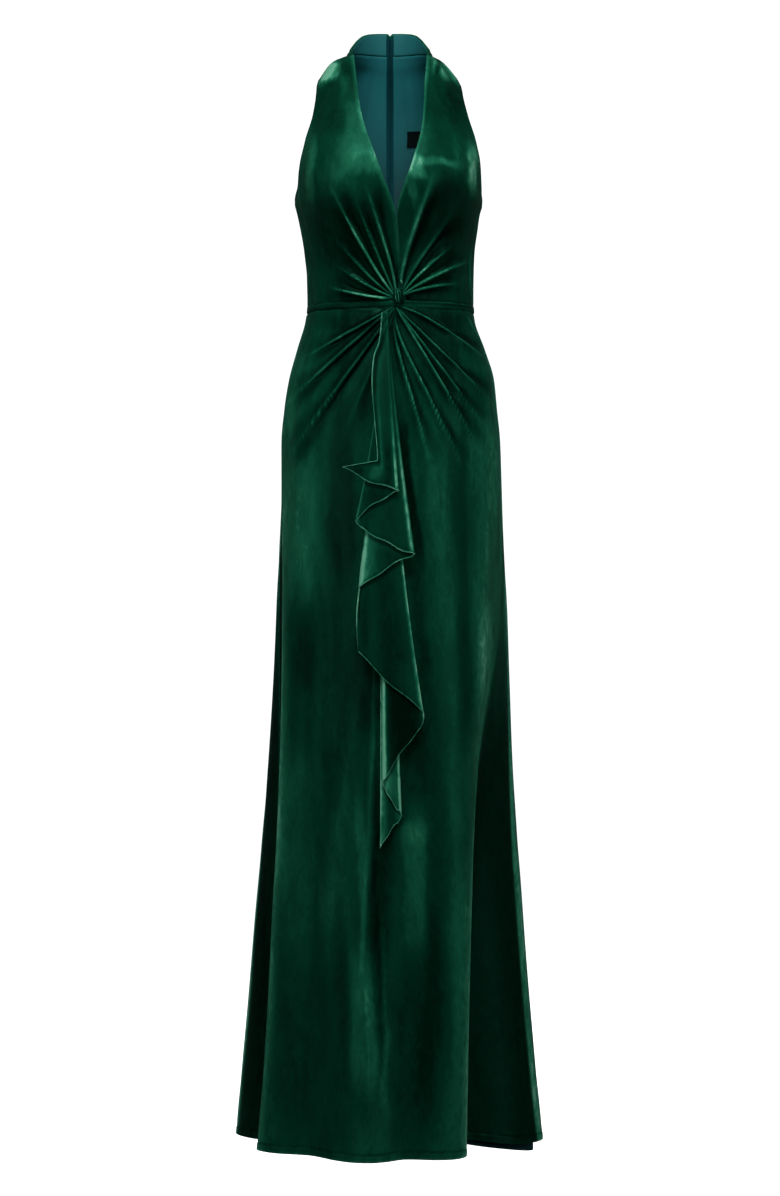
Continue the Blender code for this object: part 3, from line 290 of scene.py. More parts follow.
# Patches of painted highlight and painted shade on the front, partly where its pile is brushed open or
# closed.
# columns: x, z, half_x, half_z, lean, pile_and_painted_light, edge (higher is sharper)
PILE_AND_LIGHT_PATCHES = (
    (-0.081, -0.0535, 0.0125, 0.0145, -0.35, 0.92, 8),
    (-0.0615, -0.052, 0.007, 0.011, 0, -0.5, 3),
    (-0.088, -0.108, 0.023, 0.04, 0.1, -0.36, 6),
    (-0.05, -0.072, 0.011, 0.026, 0, -0.26, 4),
    (-0.038, -0.155, 0.027, 0.05, -0.15, 0.25, 8),
    (-0.039, -0.189, 0.026, 0.015, 0, 0.15, 8),
    (-0.106, -0.195, 0.006, 0.044, -0.06, 0.46, 3),
    (-0.084, -0.172, 0.015, 0.02, 0, -0.1, 3),
    (0.079, -0.053, 0.0115, 0.015, 0.35, 0.62, 8),
    (0.059, -0.043, 0.0042, 0.015, 0, 0.6, 3),
    (0.066, -0.044, 0.0032, 0.014, 0, -0.6, 3),
    (0.08, -0.101, 0.026, 0.04, -0.1, -0.34, 4),
    (0.0505, -0.142, 0.011, 0.026, 0.1, 0.2, 5),
    (0.066, -0.156, 0.016, 0.017, 0, -0.16, 4),
    (0.035, -0.194, 0.013, 0.015, 0.2, 0.6, 8),
    (0.066, -0.1885, 0.024, 0.005, 0, 0.54, 4),
    (0.033, -0.238, 0.0055, 0.024, 0.22, 0.34, 4),
    (0.0485, -0.233, 0.004, 0.018, -0.35, 0.34, 4),
    (-0.064, -0.213, 0.01, 0.014, 0.6, 0.18, 3),
    (0.1095, -0.19, 0.0075, 0.033, 0.05, 0.92, 4),
    (0.08, -0.215, 0.017, 0.019, 0, -0.34, 4),
    (0.098, -0.312, 0.012, 0.03, 0, 0.18, 3),
    (-0.056, -0.285, 0.05, 0.046, 0, -0.3, 3),
    (0.066, -0.275, 0.044, 0.044, 0, -0.34, 3),
    (-0.048, -0.366, 0.034, 0.015, 0, -0.42, 4),
    (0.044, -0.36, 0.027, 0.009, 0, -0.46, 4),
    (-0.048, -0.398, 0.038, 0.014, 0, -0.4, 3),
    (0.06, -0.4, 0.038, 0.016, 0, -0.44, 3),
    (-0.044, -0.44, 0.04, 0.042, 0, -0.34, 3),
    (0.052, -0.444, 0.042, 0.044, 0, -0.34, 3),
    (-0.065, -0.65, 0.017, 0.078, 0, -0.94, 5),
    (-0.085, -0.535, 0.04, 0.035, 0, -0.2, 2),
    (0.072, -0.49, 0.04, 0.05, 0, -0.2, 2),
    (-0.123, -0.62, 0.02, 0.15, 0, 0.12, 4),
    (-0.102, -0.835, 0.03, 0.06, 0, -0.3, 4),
    (0.0262, -0.624, 0.0062, 0.095, 0.15, -1.1, 4),
    (0.04, -0.8, 0.01, 0.09, 0.1, -0.3, 4),
    (-0.066, -0.55, 0.011, 0.06, 0, -0.26, 4),
    (0.062, -0.74, 0.018, 0.12, 0, 0.06, 3),
    (0.094, -0.9, 0.011, 0.13, 0, -0.1, 4),
    (-0.031, -0.87, 0.016, 0.075, 0, -0.52, 5),
    (-0.033, -1.22, 0.007, 0.2, 0.05, 0.3, 6),
    (-0.017, -1.2, 0.004, 0.18, 0.03, -0.4, 6),
    (-0.009, -1.32, 0.004, 0.14, 0.02, 0.22, 6),
    (-0.05, -1, 0.022, 0.15, 0.16, 0.03, 6),
    (0.034, -1.16, 0.016, 0.09, 0.05, 0.16, 8),
    (0.033, -1.085, 0.023, 0.012, 0, 0.2, 6),
    (0.034, -0.99, 0.016, 0.05, 0, -0.34, 4),
    (0.028, -1.39, 0.026, 0.12, 0, -0.34, 4),
    (-0.128, -1.38, 0.03, 0.12, 0, -0.34, 4),
    (-0.035, -1.39, 0.022, 0.11, 0, 0.06, 3),
)

# Cascade: where its zigzag turns and leaves each turn, on which side and how soon it reaches it.
# columns: x, z, x_out, z_out, side, power
CASCADE_TURNS = (
    (-0.0627, -0.5964, -0.0627, -0.5964, -1, 1),
    (0.0113, -0.627, 0.0113, -0.63, 1, 1.3),
    (-0.0493, -0.6664, -0.036, -0.68, -1, 1.8),
    (0.0327, -0.711, 0.0327, -0.714, 1, 1.3),
    (-0.044, -0.7577, -0.0453, -0.843, -1, 2),
    (0.0472, -0.9216, 0.042, -0.947, 1, 1.8),
    (-0.0103, -1.011, -0.0091, -1.026, -1, 1),
    (0.0165, -1.056, 0.0139, -1.07, 1, 1.5),
    (-0.013, -1.105, -0.013, -1.105, -1, 1),
)
# Painted light and shade along each layer, from its first fold to its next one.
CASCADE_LAYER_LIGHT = (
    (-0.26, 0.02, -0.08, -0.24, -0.1),
    (-0.22, -0.16, -0.14, -0.1, -0.06),
    (-0.24, 0.06, -0.18, -0.2, -0.1),
    (-0.3, -0.1, 0.04, 0.26, 0.52),
    (-0.14, -0.16, -0.24, -0.12, 0.06),
    (-0.6, -1.1, -1.1, -0.8, 0.44),
    (0.56, 0.44, 0.3, 0.3, 0.36),
    (0.3, -0.3, -0.2, 0.34, 0.6),
)
# Patches of painted light and shade on single layers. columns: layer, x, z, half_x, half_z, lean,
# painted_light
CASCADE_LIGHT_PATCHES = (
    (0, -0.02, -0.606, 0.01, 0.011, 0, 0.36),
    (0, -0.047, -0.6015, 0.014, 0.0052, 0, -0.6),
    (0, -0.003, -0.59, 0.005, 0.042, 0.06, -0.34),
    (0, -0.009, -0.47, 0.016, 0.056, 0, -0.16),
    (1, -0.02, -0.635, 0.026, 0.012, -0.9, -0.16),
    (2, -0.025, -0.678, 0.005, 0.013, 0, 0.2),
    (2, -0.044, -0.664, 0.006, 0.007, 0, -0.7),
    (3, -0.03, -0.725, 0.008, 0.028, -0.1, 0.12),
    (3, 0.006, -0.718, 0.02, 0.012, 0.6, -0.2),
    (4, -0.035, -0.8, 0.008, 0.052, 0, -0.3),
    (4, -0.019, -0.82, 0.006, 0.07, 0, 0.08),
    (4, 0.025, -0.89, 0.013, 0.03, 0.3, 0.14),
)
CASCADE_LONG_TURN = 4
CASCADE_LATE = (0.6, 4.1)
CASCADE_TOP = (-0.0068, -0.388)
CASCADE_HALF = 0.0038
CASCADE_CLEAR = 0.0036
CASCADE_PITCH_TOP = 0.0018
CASCADE_PITCH_EDGE = 0.0034
# columns: share, x
SIDE_EDGE = (
    (0, -0.0106),
    (0.18, -0.014),
    (0.3, -0.022),
    (0.45, -0.024),
    (0.7, -0.0205),
    (0.955, -0.0166),
    (0.962, -0.0169),
    (0.968, -0.0242),
    (1, -0.0627),
)

TWIST_CENTRE = (0.0112, -0.3645)
TWIST_HALF = (0.0072, 0.0052, 0.0108)
LABEL_CENTRE = (0.043, -0.1265)
LABEL_SIZE = (0.036, 0.022)
LABEL_POINTS, LABEL_DEPTH, LABEL_THICK = (50, 30), 0.0042, 0.0007
LABEL_CURL, LABEL_BOW, LABEL_TURN = 0.0006, 0.0003, 0.0003  # at its corners, over its width, at its ends


# ---- Curves and the body form --------------------------------------------------------------------


def smooth_through(xs, ys):
    """A smooth curve through the points that never swings past them; level beyond its ends."""
    order = np.argsort(xs)
    xs = np.asarray(xs, float)[order]
    ys = np.asarray(ys, float)[order]
    step = np.diff(xs)
    slope = np.diff(ys) / step
    tangent = np.zeros_like(ys)
    tangent[0] = slope[0]
    tangent[-1] = slope[-1]
    for i in range(1, len(xs) - 1):
        if slope[i - 1] * slope[i] > 0:
            before = 2 * step[i] + step[i - 1]
            after = step[i] + 2 * step[i - 1]
            tangent[i] = (before + after) / (before / slope[i - 1] + after / slope[i])

    def at(x):
        x = np.clip(np.asarray(x, float), xs[0], xs[-1])
        i = np.clip(np.searchsorted(xs, x) - 1, 0, len(step) - 1)
        t = (x - xs[i]) / step[i]
        rise = ys[i] * (2 * t**3 - 3 * t**2 + 1) + ys[i + 1] * (3 * t**2 - 2 * t**3)
        lean = tangent[i] * (t**3 - 2 * t**2 + t) + tangent[i + 1] * (t**3 - t**2)
        return rise + step[i] * lean

    return at


def table_curves(columns, rows, key):
    """A smooth curve for each other column of a table, over its key column."""
    place_of_key = columns.index(key)
    xs = [row[place_of_key] for row in rows]
    return {
        name: smooth_through(xs, [row[i] for row in rows])
        for i, name in enumerate(columns)
        if i != place_of_key
    }


def smooth_step(t):
    """0 up to t = 0, 1 from t = 1, and a smooth rise between them."""
    t = np.clip(t, 0.0, 1.0)
    return t * t * (3 - 2 * t)


def rest_of(share, start):
    """0 up to the share start, and a smooth rise to 1 at the whole."""
    return smooth_step((share - start) / (1 - start))


def bell(far, reach, middle=0.0):
    """1 at the middle, falling smoothly away on both sides of it."""
    return np.exp(-(((far - middle) / reach) ** 2))


SECTION = table_curves(SECTION_COLUMNS, SECTIONS, "z")
ARM = table_curves(ARMHOLE_COLUMNS, ARMHOLE, "z")
BAND = table_curves(BAND_COLUMNS, NECKBAND, "angle")


def wrapped(degrees):
    return (degrees + 180.0) % 360.0 - 180.0


def fold_rise(angle, z):
    """How far the deep upright folds of the skirt stand out, or in if negative."""
    total = np.zeros(np.broadcast(angle, z).shape)
    for start_angle, hem_angle, start_z, front_reach, back_reach, rise in SKIRT_FOLDS:
        down = (start_z - z) / (start_z - HEM_Z)
        grown = smooth_step(down) ** 0.8
        middle = start_angle + (hem_angle - start_angle) * np.clip(down, 0, 1)
        away = wrapped(np.degrees(angle) - middle)
        towards_back = away * np.sign(start_angle + 1e-6) > 0
        reach = np.where(towards_back, back_reach, front_reach)
        total = total + rise * grown * bell(away, reach)
    return total


def radius(angle, z):
    """Distance from the upright axis to the inner face of the cloth, with the upright folds."""
    angle, z = np.broadcast_arrays(np.asarray(angle, float), np.asarray(z, float))
    half = np.where(np.sin(angle) < 0, SECTION["right"](z), SECTION["left"](z))
    depth = np.where(np.cos(angle) > 0, SECTION["front"](z), SECTION["back"](z))
    power = SECTION["square"](z)
    across = np.abs(np.sin(angle) / half) ** power
    along = np.abs(np.cos(angle) / depth) ** power
    out = (across + along) ** (-1 / power)
    for middle, middle_z, angle_reach, z_reach, rise in CUPS:
        away = wrapped(np.degrees(angle) - middle) / angle_reach
        out = out + rise * np.exp(-(away**2) - ((z - middle_z) / z_reach) ** 2)
    return out + fold_rise(angle, z)


# A crease's crest and hollow, and the painted shade beside it, in widths of its steep and its gentle flank.
CREST_ROUND, CREST_FALL = 0.03, 1.15
HOLLOW_DEPTH, HOLLOW_AT, HOLLOW_REACH = 0.3, 1.9, 1.2
STEEP_SHADE, STEEP_REACH = 0.95, 1.5
GENTLE_SHADE, GENTLE_AT, GENTLE_REACH = 0.36, 0.35, 0.6


def ridge(off, gentle, steep):
    """A crease's profile: a gentle and a steep flank, a just rounded crest, a hollow under the steep one."""
    t = np.where(off > 0, off / steep, -off / gentle)
    crest = np.exp(-(np.sqrt(t * t + CREST_ROUND) - math.sqrt(CREST_ROUND)) * CREST_FALL)
    return crest - HOLLOW_DEPTH * bell(off, HOLLOW_REACH * steep, HOLLOW_AT * steep)


def crease_light_and_shade(off, gentle, steep, line):
    """Painted light over a crease: a painted highlight along its crest, painted shade down the steep flank
    and in the hollow.
    """
    crest = np.exp(-np.abs(off / line) ** 1.4)
    shade = STEEP_SHADE * bell(off, STEEP_REACH * steep, STEEP_REACH * steep) * (off > -line)
    flank = GENTLE_SHADE * bell(off, GENTLE_REACH * gentle, -GENTLE_AT * gentle) * (off < 0)
    return crest, (-shade - flank) * (1 - crest)


def round_focus(x, z, focus, side, upward):
    """Distance and direction from a focus, in degrees from level, and the distance across to the side."""
    across, along = side * (x - focus[0]), upward * (z - focus[1])
    return np.hypot(across, along) + 1e-9, np.degrees(np.arctan2(along, across)), across


GATHER_GROW, SWELL_GROW = 0.040, 0.035  # how far from the focus a ridge has its full height
FOCUS_SHADE, FOCUS_REACH = 0.6, 0.058  # painted shade in the depth round the focus


def gathers(x, z, focus, rows, side, upward):
    """Ridges that run out from the focus and settle from their near to their far angle: rise, painted crest
    highlights and painted shade.
    """
    far, turn_deg, _ = round_focus(x, z, focus, side, upward)
    total, bright, shade = np.zeros_like(far), np.zeros_like(far), np.zeros_like(far)
    for near_deg, far_deg, reach, height, gentle, steep, turn, line, crest_highlight in rows:
        middle = far_deg + (near_deg - far_deg) * np.exp(-far / GATHER_BEND)
        share = np.clip(far / reach, 0, 1)
        off = far * np.sin(np.radians(np.clip(turn_deg - middle, -80, 80))) * turn
        spread = 0.16 + 0.84 * share + 0.9 * rest_of(share, 0.55)
        swell = np.clip(far / GATHER_GROW, 0, 1) ** 0.75 * (1 - rest_of(share, 0.45))
        total = total + height * swell * ridge(off, gentle * spread, steep * spread)
        wide = 0.42 + 0.48 * smooth_step(share / 0.5) + 1.4 * rest_of(share, 0.72)
        crest, sides = crease_light_and_shade(off, gentle * spread, steep * spread, line * wide)
        seen = 1 - rest_of(share, 0.62)
        wave = (0.62 + 0.38 * np.sin(math.pi * share**0.8)) * (0.92 + 0.08 * np.sin(far * 95 + near_deg))
        bright = np.maximum(bright, crest * crest_highlight * seen * wave)
        shade = np.minimum(shade, sides * seen * np.clip(far / 0.010, 0.4, 1))
    return total, bright, np.maximum(shade - FOCUS_SHADE * bell(far, FOCUS_REACH), -1.0)


def laid_over(pile_and_painted_light, bright, shade):
    """Pile of plain cloth with the creases' painted crest highlights and the painted shade of their flanks
    over it.
    """
    return (pile_and_painted_light + shade) * (1 - np.clip(bright * 1.6, 0, 1)) + bright


FOLD_OVER, FOLD_IN, FOLD_OUT = 0.12, 0.34, 0.4  # shares of a fold's length past which and over which it fades


def soft_folds(angle, z):
    """Rise of the soft folds, and their painted highlights and painted shade."""
    total = np.zeros(np.broadcast(angle, z).shape)
    pile_and_painted_light = np.zeros_like(total)
    reach = radius(0.0, z)
    sway = 0.0016 * np.sin(13 * z + 5 * angle) + 0.0011 * np.sin(37 * z - 9 * angle)
    for top_angle, top_z, low_angle, low_z, half_width, rise, painted_light in SOFT_FOLDS:
        down = (top_z - z) / (top_z - low_z)
        middle = top_angle + (low_angle - top_angle) * np.clip(down, -0.2, 1.2)
        fade = smooth_step((down + FOLD_OVER) / FOLD_IN) * smooth_step((1 + FOLD_OVER - down) / FOLD_OUT)
        off = np.radians(wrapped(np.degrees(angle) - middle)) * reach + sway * min(1, half_width / 0.01)
        total = total + rise * fade * np.exp(-np.abs(off / half_width) ** 1.6)
        pile_and_painted_light = pile_and_painted_light + painted_light * fade * np.exp(-np.abs(off / half_width) ** 2.6)
    return total, pile_and_painted_light


def chance(x, z):
    """A value from 0 to 1 for each whole-number place, without order."""
    mixed = np.sin(x * 127.1 + z * 311.7) * 43758.5453
    return mixed - np.floor(mixed)


def mottle(x, z):
    """Smooth uneven values from -1 to 1 that change over a distance of about 1."""
    left, low = np.floor(x), np.floor(z)
    across, up = smooth_step(x - left), smooth_step(z - low)
    bottom = chance(left, low) * (1 - across) + chance(left + 1, low) * across
    top = chance(left, low + 1) * (1 - across) + chance(left + 1, low + 1) * across
    return 2 * (bottom * (1 - up) + top * up) - 1


# columns: strength, across, down, shift_x, shift_z
WARP_X = ((0.0036, 0.021, 0.034, 7, 0), (0.0016, 0.008, 0.011, 0, 31))
WARP_Z = ((0.0030, 0.017, 0.030, 3, 11), (0.0012, 0.007, 0.012, 5, 0))
STROKES = ((0.10, 0.030, 0.110, 17, 0), (0.07, 0.011, 0.045, 0, 9))
MEAN_RADIUS = 0.14  # turns a plan angle into a distance round the body, for fine patterns


def mottles(x, z, rows):
    """Sum of uneven patterns, each of its own strength and size."""
    return sum(
        strength * mottle(x / across + shift_x, z / down + shift_z)
        for strength, across, down, shift_x, shift_z in rows
    )


def patches(points):
    """Painted highlights and painted shade, partly brushed pile, of the patches on the front, their outlines
    uneven.
    """
    x, z = points[..., 0], points[..., 2]
    warped_x, warped_z = x + mottles(x, z, WARP_X), z + mottles(x, z, WARP_Z)
    total = np.zeros_like(x)
    for middle_x, middle_z, half_x, half_z, lean, pile_and_painted_light, edge in PILE_AND_LIGHT_PATCHES:
        down = warped_z - middle_z
        across = (warped_x - middle_x + lean * down) / half_x
        total = total + pile_and_painted_light * np.exp(-np.abs(across) ** edge - np.abs(down / half_z) ** edge)
    return total * smooth_step((AXIS_Y - points[..., 1]) / 0.008)


def ripple(angle, z):
    """Slight unevenness of hanging velvet, longer down the cloth than across it."""
    s = angle * MEAN_RADIUS
    total = 0.0005 * np.sin(61 * s + 2.1 * np.sin(4.3 * z + 0.4) + 0.7)
    total = total + 0.00034 * np.sin(127 * s - 7.7 * z + 1.9 * np.sin(9.1 * z + 31 * s))
    total = total + 0.00018 * np.sin(263 * s + 23.0 * z + 2.4 * np.sin(17.3 * z))
    return total * smooth_step((-0.02 - z) / 0.05)


def brushed(angle, z):
    """Slight strokes in the pile all over, longer down the cloth than across it."""
    return mottles(angle * MEAN_RADIUS, z, STROKES)


def place(angle, z, out):
    """Points at the plan angle (0 is the front, positive towards the wearer's left) and distance out."""
    return np.stack([out * np.sin(angle), AXIS_Y - out * np.cos(angle), z + 0 * out], axis=-1)


def angle_at(x, z):
    """Plan angle of the front surface at x, z seen from the front."""
    angle = np.arcsin(np.clip(x / SECTION["front"](z), -0.9, 0.9))
    for _ in range(14):
        angle = np.arcsin(np.clip(x / radius(angle, z), -0.999, 0.999))
    return angle


def seam_angle(distance, z):
    """Plan angle that a distance along the centre back takes up."""
    return distance / radius(math.pi, z)


# ---- Cloth shells --------------------------------------------------------------------------------


def unit(vectors):
    return vectors / np.maximum(np.linalg.norm(vectors, axis=-1, keepdims=True), 1e-12)


def grid_normals(points, ring=False):
    """Unit normals of a grid of points, on the side that its rows and columns give."""
    if ring:
        wide = np.concatenate([points[:, -2:], points, points[:, :2]], axis=1)
        along = np.gradient(wide, axis=1)[:, 2:-2]
    else:
        along = np.gradient(points, axis=1)
    return unit(np.cross(along, np.gradient(points, axis=0)))


def outward_normals(points, ring=False):
    """Unit normals of a grid of points that face away from the upright axis."""
    normal = grid_normals(points, ring)
    outward = points - np.array([0.0, AXIS_Y, 0.0])
    outward[..., 2] = 0
    return normal * np.sign(np.sum(normal * outward, axis=-1, keepdims=True) + 1e-12)


def edge_distance(points, axis, from_end):
    """Distance along the cloth from one of its edges."""
    steps = np.linalg.norm(np.diff(points, axis=axis), axis=-1)
    if from_end:
        steps = np.flip(steps, axis)
    far = np.cumsum(steps, axis=axis)
    far = np.concatenate([np.zeros_like(np.take(far, [0], axis)), far], axis)
    return np.flip(far, axis) if from_end else far


# How far a cut edge's rounding draws in and stands out, as shares of the cloth's thickness.
RIM_INSET, RIM_REACH = 0.26, 0.34


def with_rim(inner, outer, axis, end):
    """Adds a row or column that rounds the cut edge over."""
    here = -1 if end else 0
    before = -2 if end else 1
    edge_in, edge_out = np.take(inner, here, axis), np.take(outer, here, axis)
    near_in, near_out = np.take(inner, before, axis), np.take(outer, before, axis)
    away = unit((edge_in - near_in) + (edge_out - near_out))
    across = edge_out - edge_in
    thick = np.linalg.norm(across, axis=-1, keepdims=True)
    new_in = np.expand_dims(edge_in + across * RIM_INSET + away * thick * RIM_REACH, axis)
    new_out = np.expand_dims(edge_out - across * RIM_INSET + away * thick * RIM_REACH, axis)
    parts_in = [inner, new_in] if end else [new_in, inner]
    parts_out = [outer, new_out] if end else [new_out, outer]
    return np.concatenate(parts_in, axis), np.concatenate(parts_out, axis)


def grid_index(rows, columns, ring):
    """Point numbers of a grid, with its first column again at the end of a ring."""
    index = np.arange(rows * columns).reshape(rows, columns)
    return np.concatenate([index, index[:, :1]], axis=1) if ring else index


def grid_faces(index):
    """Four-cornered faces between a grid's points."""
    return np.stack([index[:-1, :-1], index[:-1, 1:], index[1:, 1:], index[1:, :-1]], axis=-1).reshape(-1, 4)


def shell(name, inner, outer, ring=False, pile_and_painted_light=None, rim_sheen=0.0):
    """A closed shell between two grids of points, its cut edges rounded."""
    # rim_sheen is a painted sheen laid along the cut edges
    if pile_and_painted_light is not None:
        pile_and_painted_light = np.pad(pile_and_painted_light, ((1, 1), (0, 0) if ring else (1, 1)), mode="edge")
        pile_and_painted_light[[0, -1]] = np.maximum(pile_and_painted_light[[0, -1]], rim_sheen)
        if not ring:
            pile_and_painted_light[:, [0, -1]] = np.maximum(pile_and_painted_light[:, [0, -1]], rim_sheen)
    for axis, end in [(0, False), (0, True)] + ([] if ring else [(1, False), (1, True)]):
        inner, outer = with_rim(inner, outer, axis, end)
    rows, columns = inner.shape[:2]
    shift = rows * columns
    index = grid_index(rows, columns, ring)
    out_faces = grid_faces(index) + shift
    in_faces = grid_faces(index)[:, [0, 3, 2, 1]]
    loops = [index[0], index[-1][::-1]]
    if not ring:
        loops = [np.concatenate([index[0], index[1:, -1], index[-1, -2::-1], index[-2::-1, 0]])]
    strips = []
    for loop in loops:
        first, second = loop[:-1], loop[1:]
        strips.append(np.stack([second + shift, first + shift, first, second], axis=-1))
    faces = np.concatenate([out_faces, in_faces, *strips])
    points = np.concatenate([inner.reshape(-1, 3), outer.reshape(-1, 3)])
    piece = mesh_piece(name, points, faces)
    if pile_and_painted_light is not None:
        store_pile_and_light(piece, np.concatenate([pile_and_painted_light.ravel(), pile_and_painted_light.ravel()]))
    return piece


def store_pile_and_light(piece, values):
    """Keeps the pile with its painted highlights and painted shade at each point, for the velvet to read."""
    kept = piece.data.attributes.new("pile_and_painted_light", "FLOAT", "POINT")
    kept.data.foreach_set("value", np.clip(values, -1.0, 1.2).astype(np.float32))


def new_piece(name, points, faces):
    """A smooth-shaded object in the scene from points and lists of their numbers."""
    mesh = bpy.data.meshes.new(name)
    mesh.from_pydata(points.tolist(), [], faces)
    mesh.shade_smooth()
    piece = bpy.data.objects.new(name, mesh)
    bpy.context.scene.collection.objects.link(piece)
    return piece


def mesh_piece(name, points, faces):
    """A closed piece of four-cornered faces, all turned to face out."""
    volume = 0.0
    for second, third in ((1, 2), (2, 3)):
        across = np.cross(points[faces[:, second]], points[faces[:, third]])
        volume += np.einsum("ij,ij->i", points[faces[:, 0]], across).sum()
    if volume < 0:
        faces = faces[:, ::-1]
    return new_piece(name, points, faces.tolist())


def form(angle, z, rise=None):
    """Points of the cloth's inner face, its unit normals, and its pile with the painted highlights and
    painted shade of its folds and patches.
    """
    soft_rise, pile_and_painted_light = soft_folds(angle, z)
    out = radius(angle, z) + soft_rise + ripple(angle, z)
    if rise is not None:
        out = out + rise
    points = place(angle, z, out)
    pile_and_painted_light = pile_and_painted_light + patches(points) + brushed(angle, z)
    return points, outward_normals(points), pile_and_painted_light


SEAM_DIP, SEAM_REACH = 0.0009, 0.0022
BEAD_RISE, BEAD_REACH = 0.0003, 0.0008
BEAD_GROOVE, BEAD_GROOVE_AT, BEAD_GROOVE_REACH = 0.35, 0.0034, 0.0013  # depth as a share of the bead's rise
HEM_DEEP, HEM_RISE, HEM_STEP_BEFORE, HEM_STEP = 0.0095, 0.0005, 0.0006, 0.0016
STITCH_DIP, STITCH_REACH, STITCH_LENGTH = 0.00065, 0.0011, 0.0042
HEM_PULL, HEM_PULL_REACH, HEM_PULL_LENGTH = 0.00035, 0.006, 0.019
RIM_SHEEN, RIM_SHEEN_LINE = 0.35, 0.0016  # painted sheen on a turned edge
STITCH_SHUT, STITCH_LINE = 0.45, 0.0013  # dark pile along stitches


def seam_dip(far):
    """Cloth drawn in along a seam."""
    return -SEAM_DIP * bell(far, SEAM_REACH)


def bead(far):
    """A turned and rolled edge, with the groove inside it."""
    return BEAD_RISE * (bell(far, BEAD_REACH) - BEAD_GROOVE * bell(far, BEAD_GROOVE_REACH, BEAD_GROOVE_AT))


def hem(far, along):
    """A turned-up hem with its line of stitches: thicker below the line, dimpled at each stitch."""
    fold = HEM_RISE * (1 - smooth_step((far - HEM_DEEP + HEM_STEP_BEFORE) / HEM_STEP))
    stitch = 0.62 + 0.38 * np.cos(2 * math.pi * along / STITCH_LENGTH)
    pull = HEM_PULL * np.sin(2 * math.pi * along / HEM_PULL_LENGTH + 1.3 * np.sin(along * 71))
    line = STITCH_DIP * stitch * bell(far, STITCH_REACH, HEM_DEEP)
    return fold - line + pull * bell(far, HEM_PULL_REACH, HEM_DEEP)


# Painted sheen and painted shade along the skirt front's deep side folds, for the sides -1 and 1.
EDGE_START_Z, EDGE_LOW_Z = -0.62, -1.15  # where it starts to show, and where it narrows on side -1
EDGE_BEHIND = {-1: 0.004, 1: 0.014}  # how soon behind the fold's edge the painted shade starts
EDGE_SHADE = {-1: 0.85, 1: 0.62}  # how dark the painted shade is there
EDGE_HOLD = 0.034  # how far before the edge it outdoes the other pile
EDGE_SHEENS = ((0.34, 0.010, -0.010), (0.44, 0.026, -0.012))  # painted sheen before it: strength, reach, place
EDGE_LOW_LESS = (0.30, 0.010)  # what the second of them loses of its strength and reach low down
EDGE_SEAM, EDGE_SEAM_FADE = 0.003, 0.005  # how near the side seam the painted shade ends
EDGE_SMOOTH, EDGE_FADE = np.hanning(27)[1:-1], np.ones(31)  # weights over the rows


def running(values, weights):
    """Weighted running mean of values, their ends held."""
    return np.convolve(np.pad(values, len(weights) // 2, mode="edge"), weights / weights.sum(), mode="valid")


def past_outermost(points, side):
    """Distance past each row's first outermost point, and how far the rows have one."""
    part = side * points[..., 0]
    drop = part[:, 1:] < part[:, :-1]
    found = drop.any(axis=1) & (drop.argmax(axis=1) < part.shape[1] - 3)
    run = edge_distance(points, 1, False)
    at = np.where(found, drop.argmax(axis=1), 0)
    edge = np.take_along_axis(run, at[:, None], axis=1)[:, 0]
    rows = np.nonzero(found)[0]
    if len(rows) > 3:
        edge = running(np.interp(np.arange(len(edge)), rows, edge[rows]), EDGE_SMOOTH)
    shown = np.clip(1.6 * running(found.astype(float), EDGE_FADE), 0, 1)
    return run - edge[:, None], shown[:, None]


def fold_edge_sheen_and_shade(points):
    """Painted sheen up to the outermost edge of each deep side fold, painted shade behind it, and their
    share.
    """
    total, share = np.zeros(points.shape[:2]), np.zeros(points.shape[:2])
    seam = np.minimum(edge_distance(points, 1, True), edge_distance(points, 1, False))
    middle = points.shape[1] // 2
    level = points[:, middle, 2][:, None]
    (near_tone, near_reach, near_at), (wide_tone, wide_reach, wide_at) = EDGE_SHEENS
    less_tone, less_reach = EDGE_LOW_LESS
    for side, columns in ((-1, slice(middle - 1, None, -1)), (1, slice(middle, None))):
        off, shown = past_outermost(points[:, columns], side)
        shown = shown * smooth_step((EDGE_START_Z - level) / 0.12)
        before = np.minimum(off, 0)
        behind = smooth_step(off / EDGE_BEHIND[side])
        low = smooth_step((EDGE_LOW_Z - level) / 0.1) * (side < 0)
        painted_light = near_tone * bell(before, near_reach, near_at)
        wide = bell(before, wide_reach - less_reach * low, wide_at)
        painted_light = painted_light + (wide_tone - less_tone * low) * wide
        line = painted_light * (1 - behind) - EDGE_SHADE[side] * behind
        past = np.where(off > 0, smooth_step((seam[:, columns] - EDGE_SEAM) / EDGE_SEAM_FADE), 1)
        hold = np.exp(-((before / EDGE_HOLD) ** 4)) * past
        total[:, columns] = line * np.where(off > 0, hold, 1) * shown
        share[:, columns] = hold * shown
    return total, share


def hem_sheen_and_stitches(far):
    """Pile pressed dark along the hem's stitches, and a painted sheen on its folded edge."""
    return RIM_SHEEN * bell(far, RIM_SHEEN_LINE) - STITCH_SHUT * bell(far, STITCH_LINE, HEM_DEEP)


def finish_shell(name, points, normal, thick, lift=0.0, press=0.0, ring=False, pile_and_painted_light=None, rim_sheen=0.0):
    """Shell of a cloth whose both faces are pressed in by press and whose outer face stands out by lift."""
    press = np.asarray(press, float)[..., None] if np.ndim(press) else press
    lift = np.asarray(lift, float)[..., None] if np.ndim(lift) else lift
    inner = points + normal * press
    outer = inner + normal * (thick + lift)
    return shell(name, inner, outer, ring, pile_and_painted_light, rim_sheen)


def keep(piece, finish, *nodes):
    """Gives a piece its material, body, slot and the nodes that it stands for."""
    piece.data.materials.append(MATERIALS[finish])
    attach(piece, "gown")
    if nodes:
        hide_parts(*nodes)


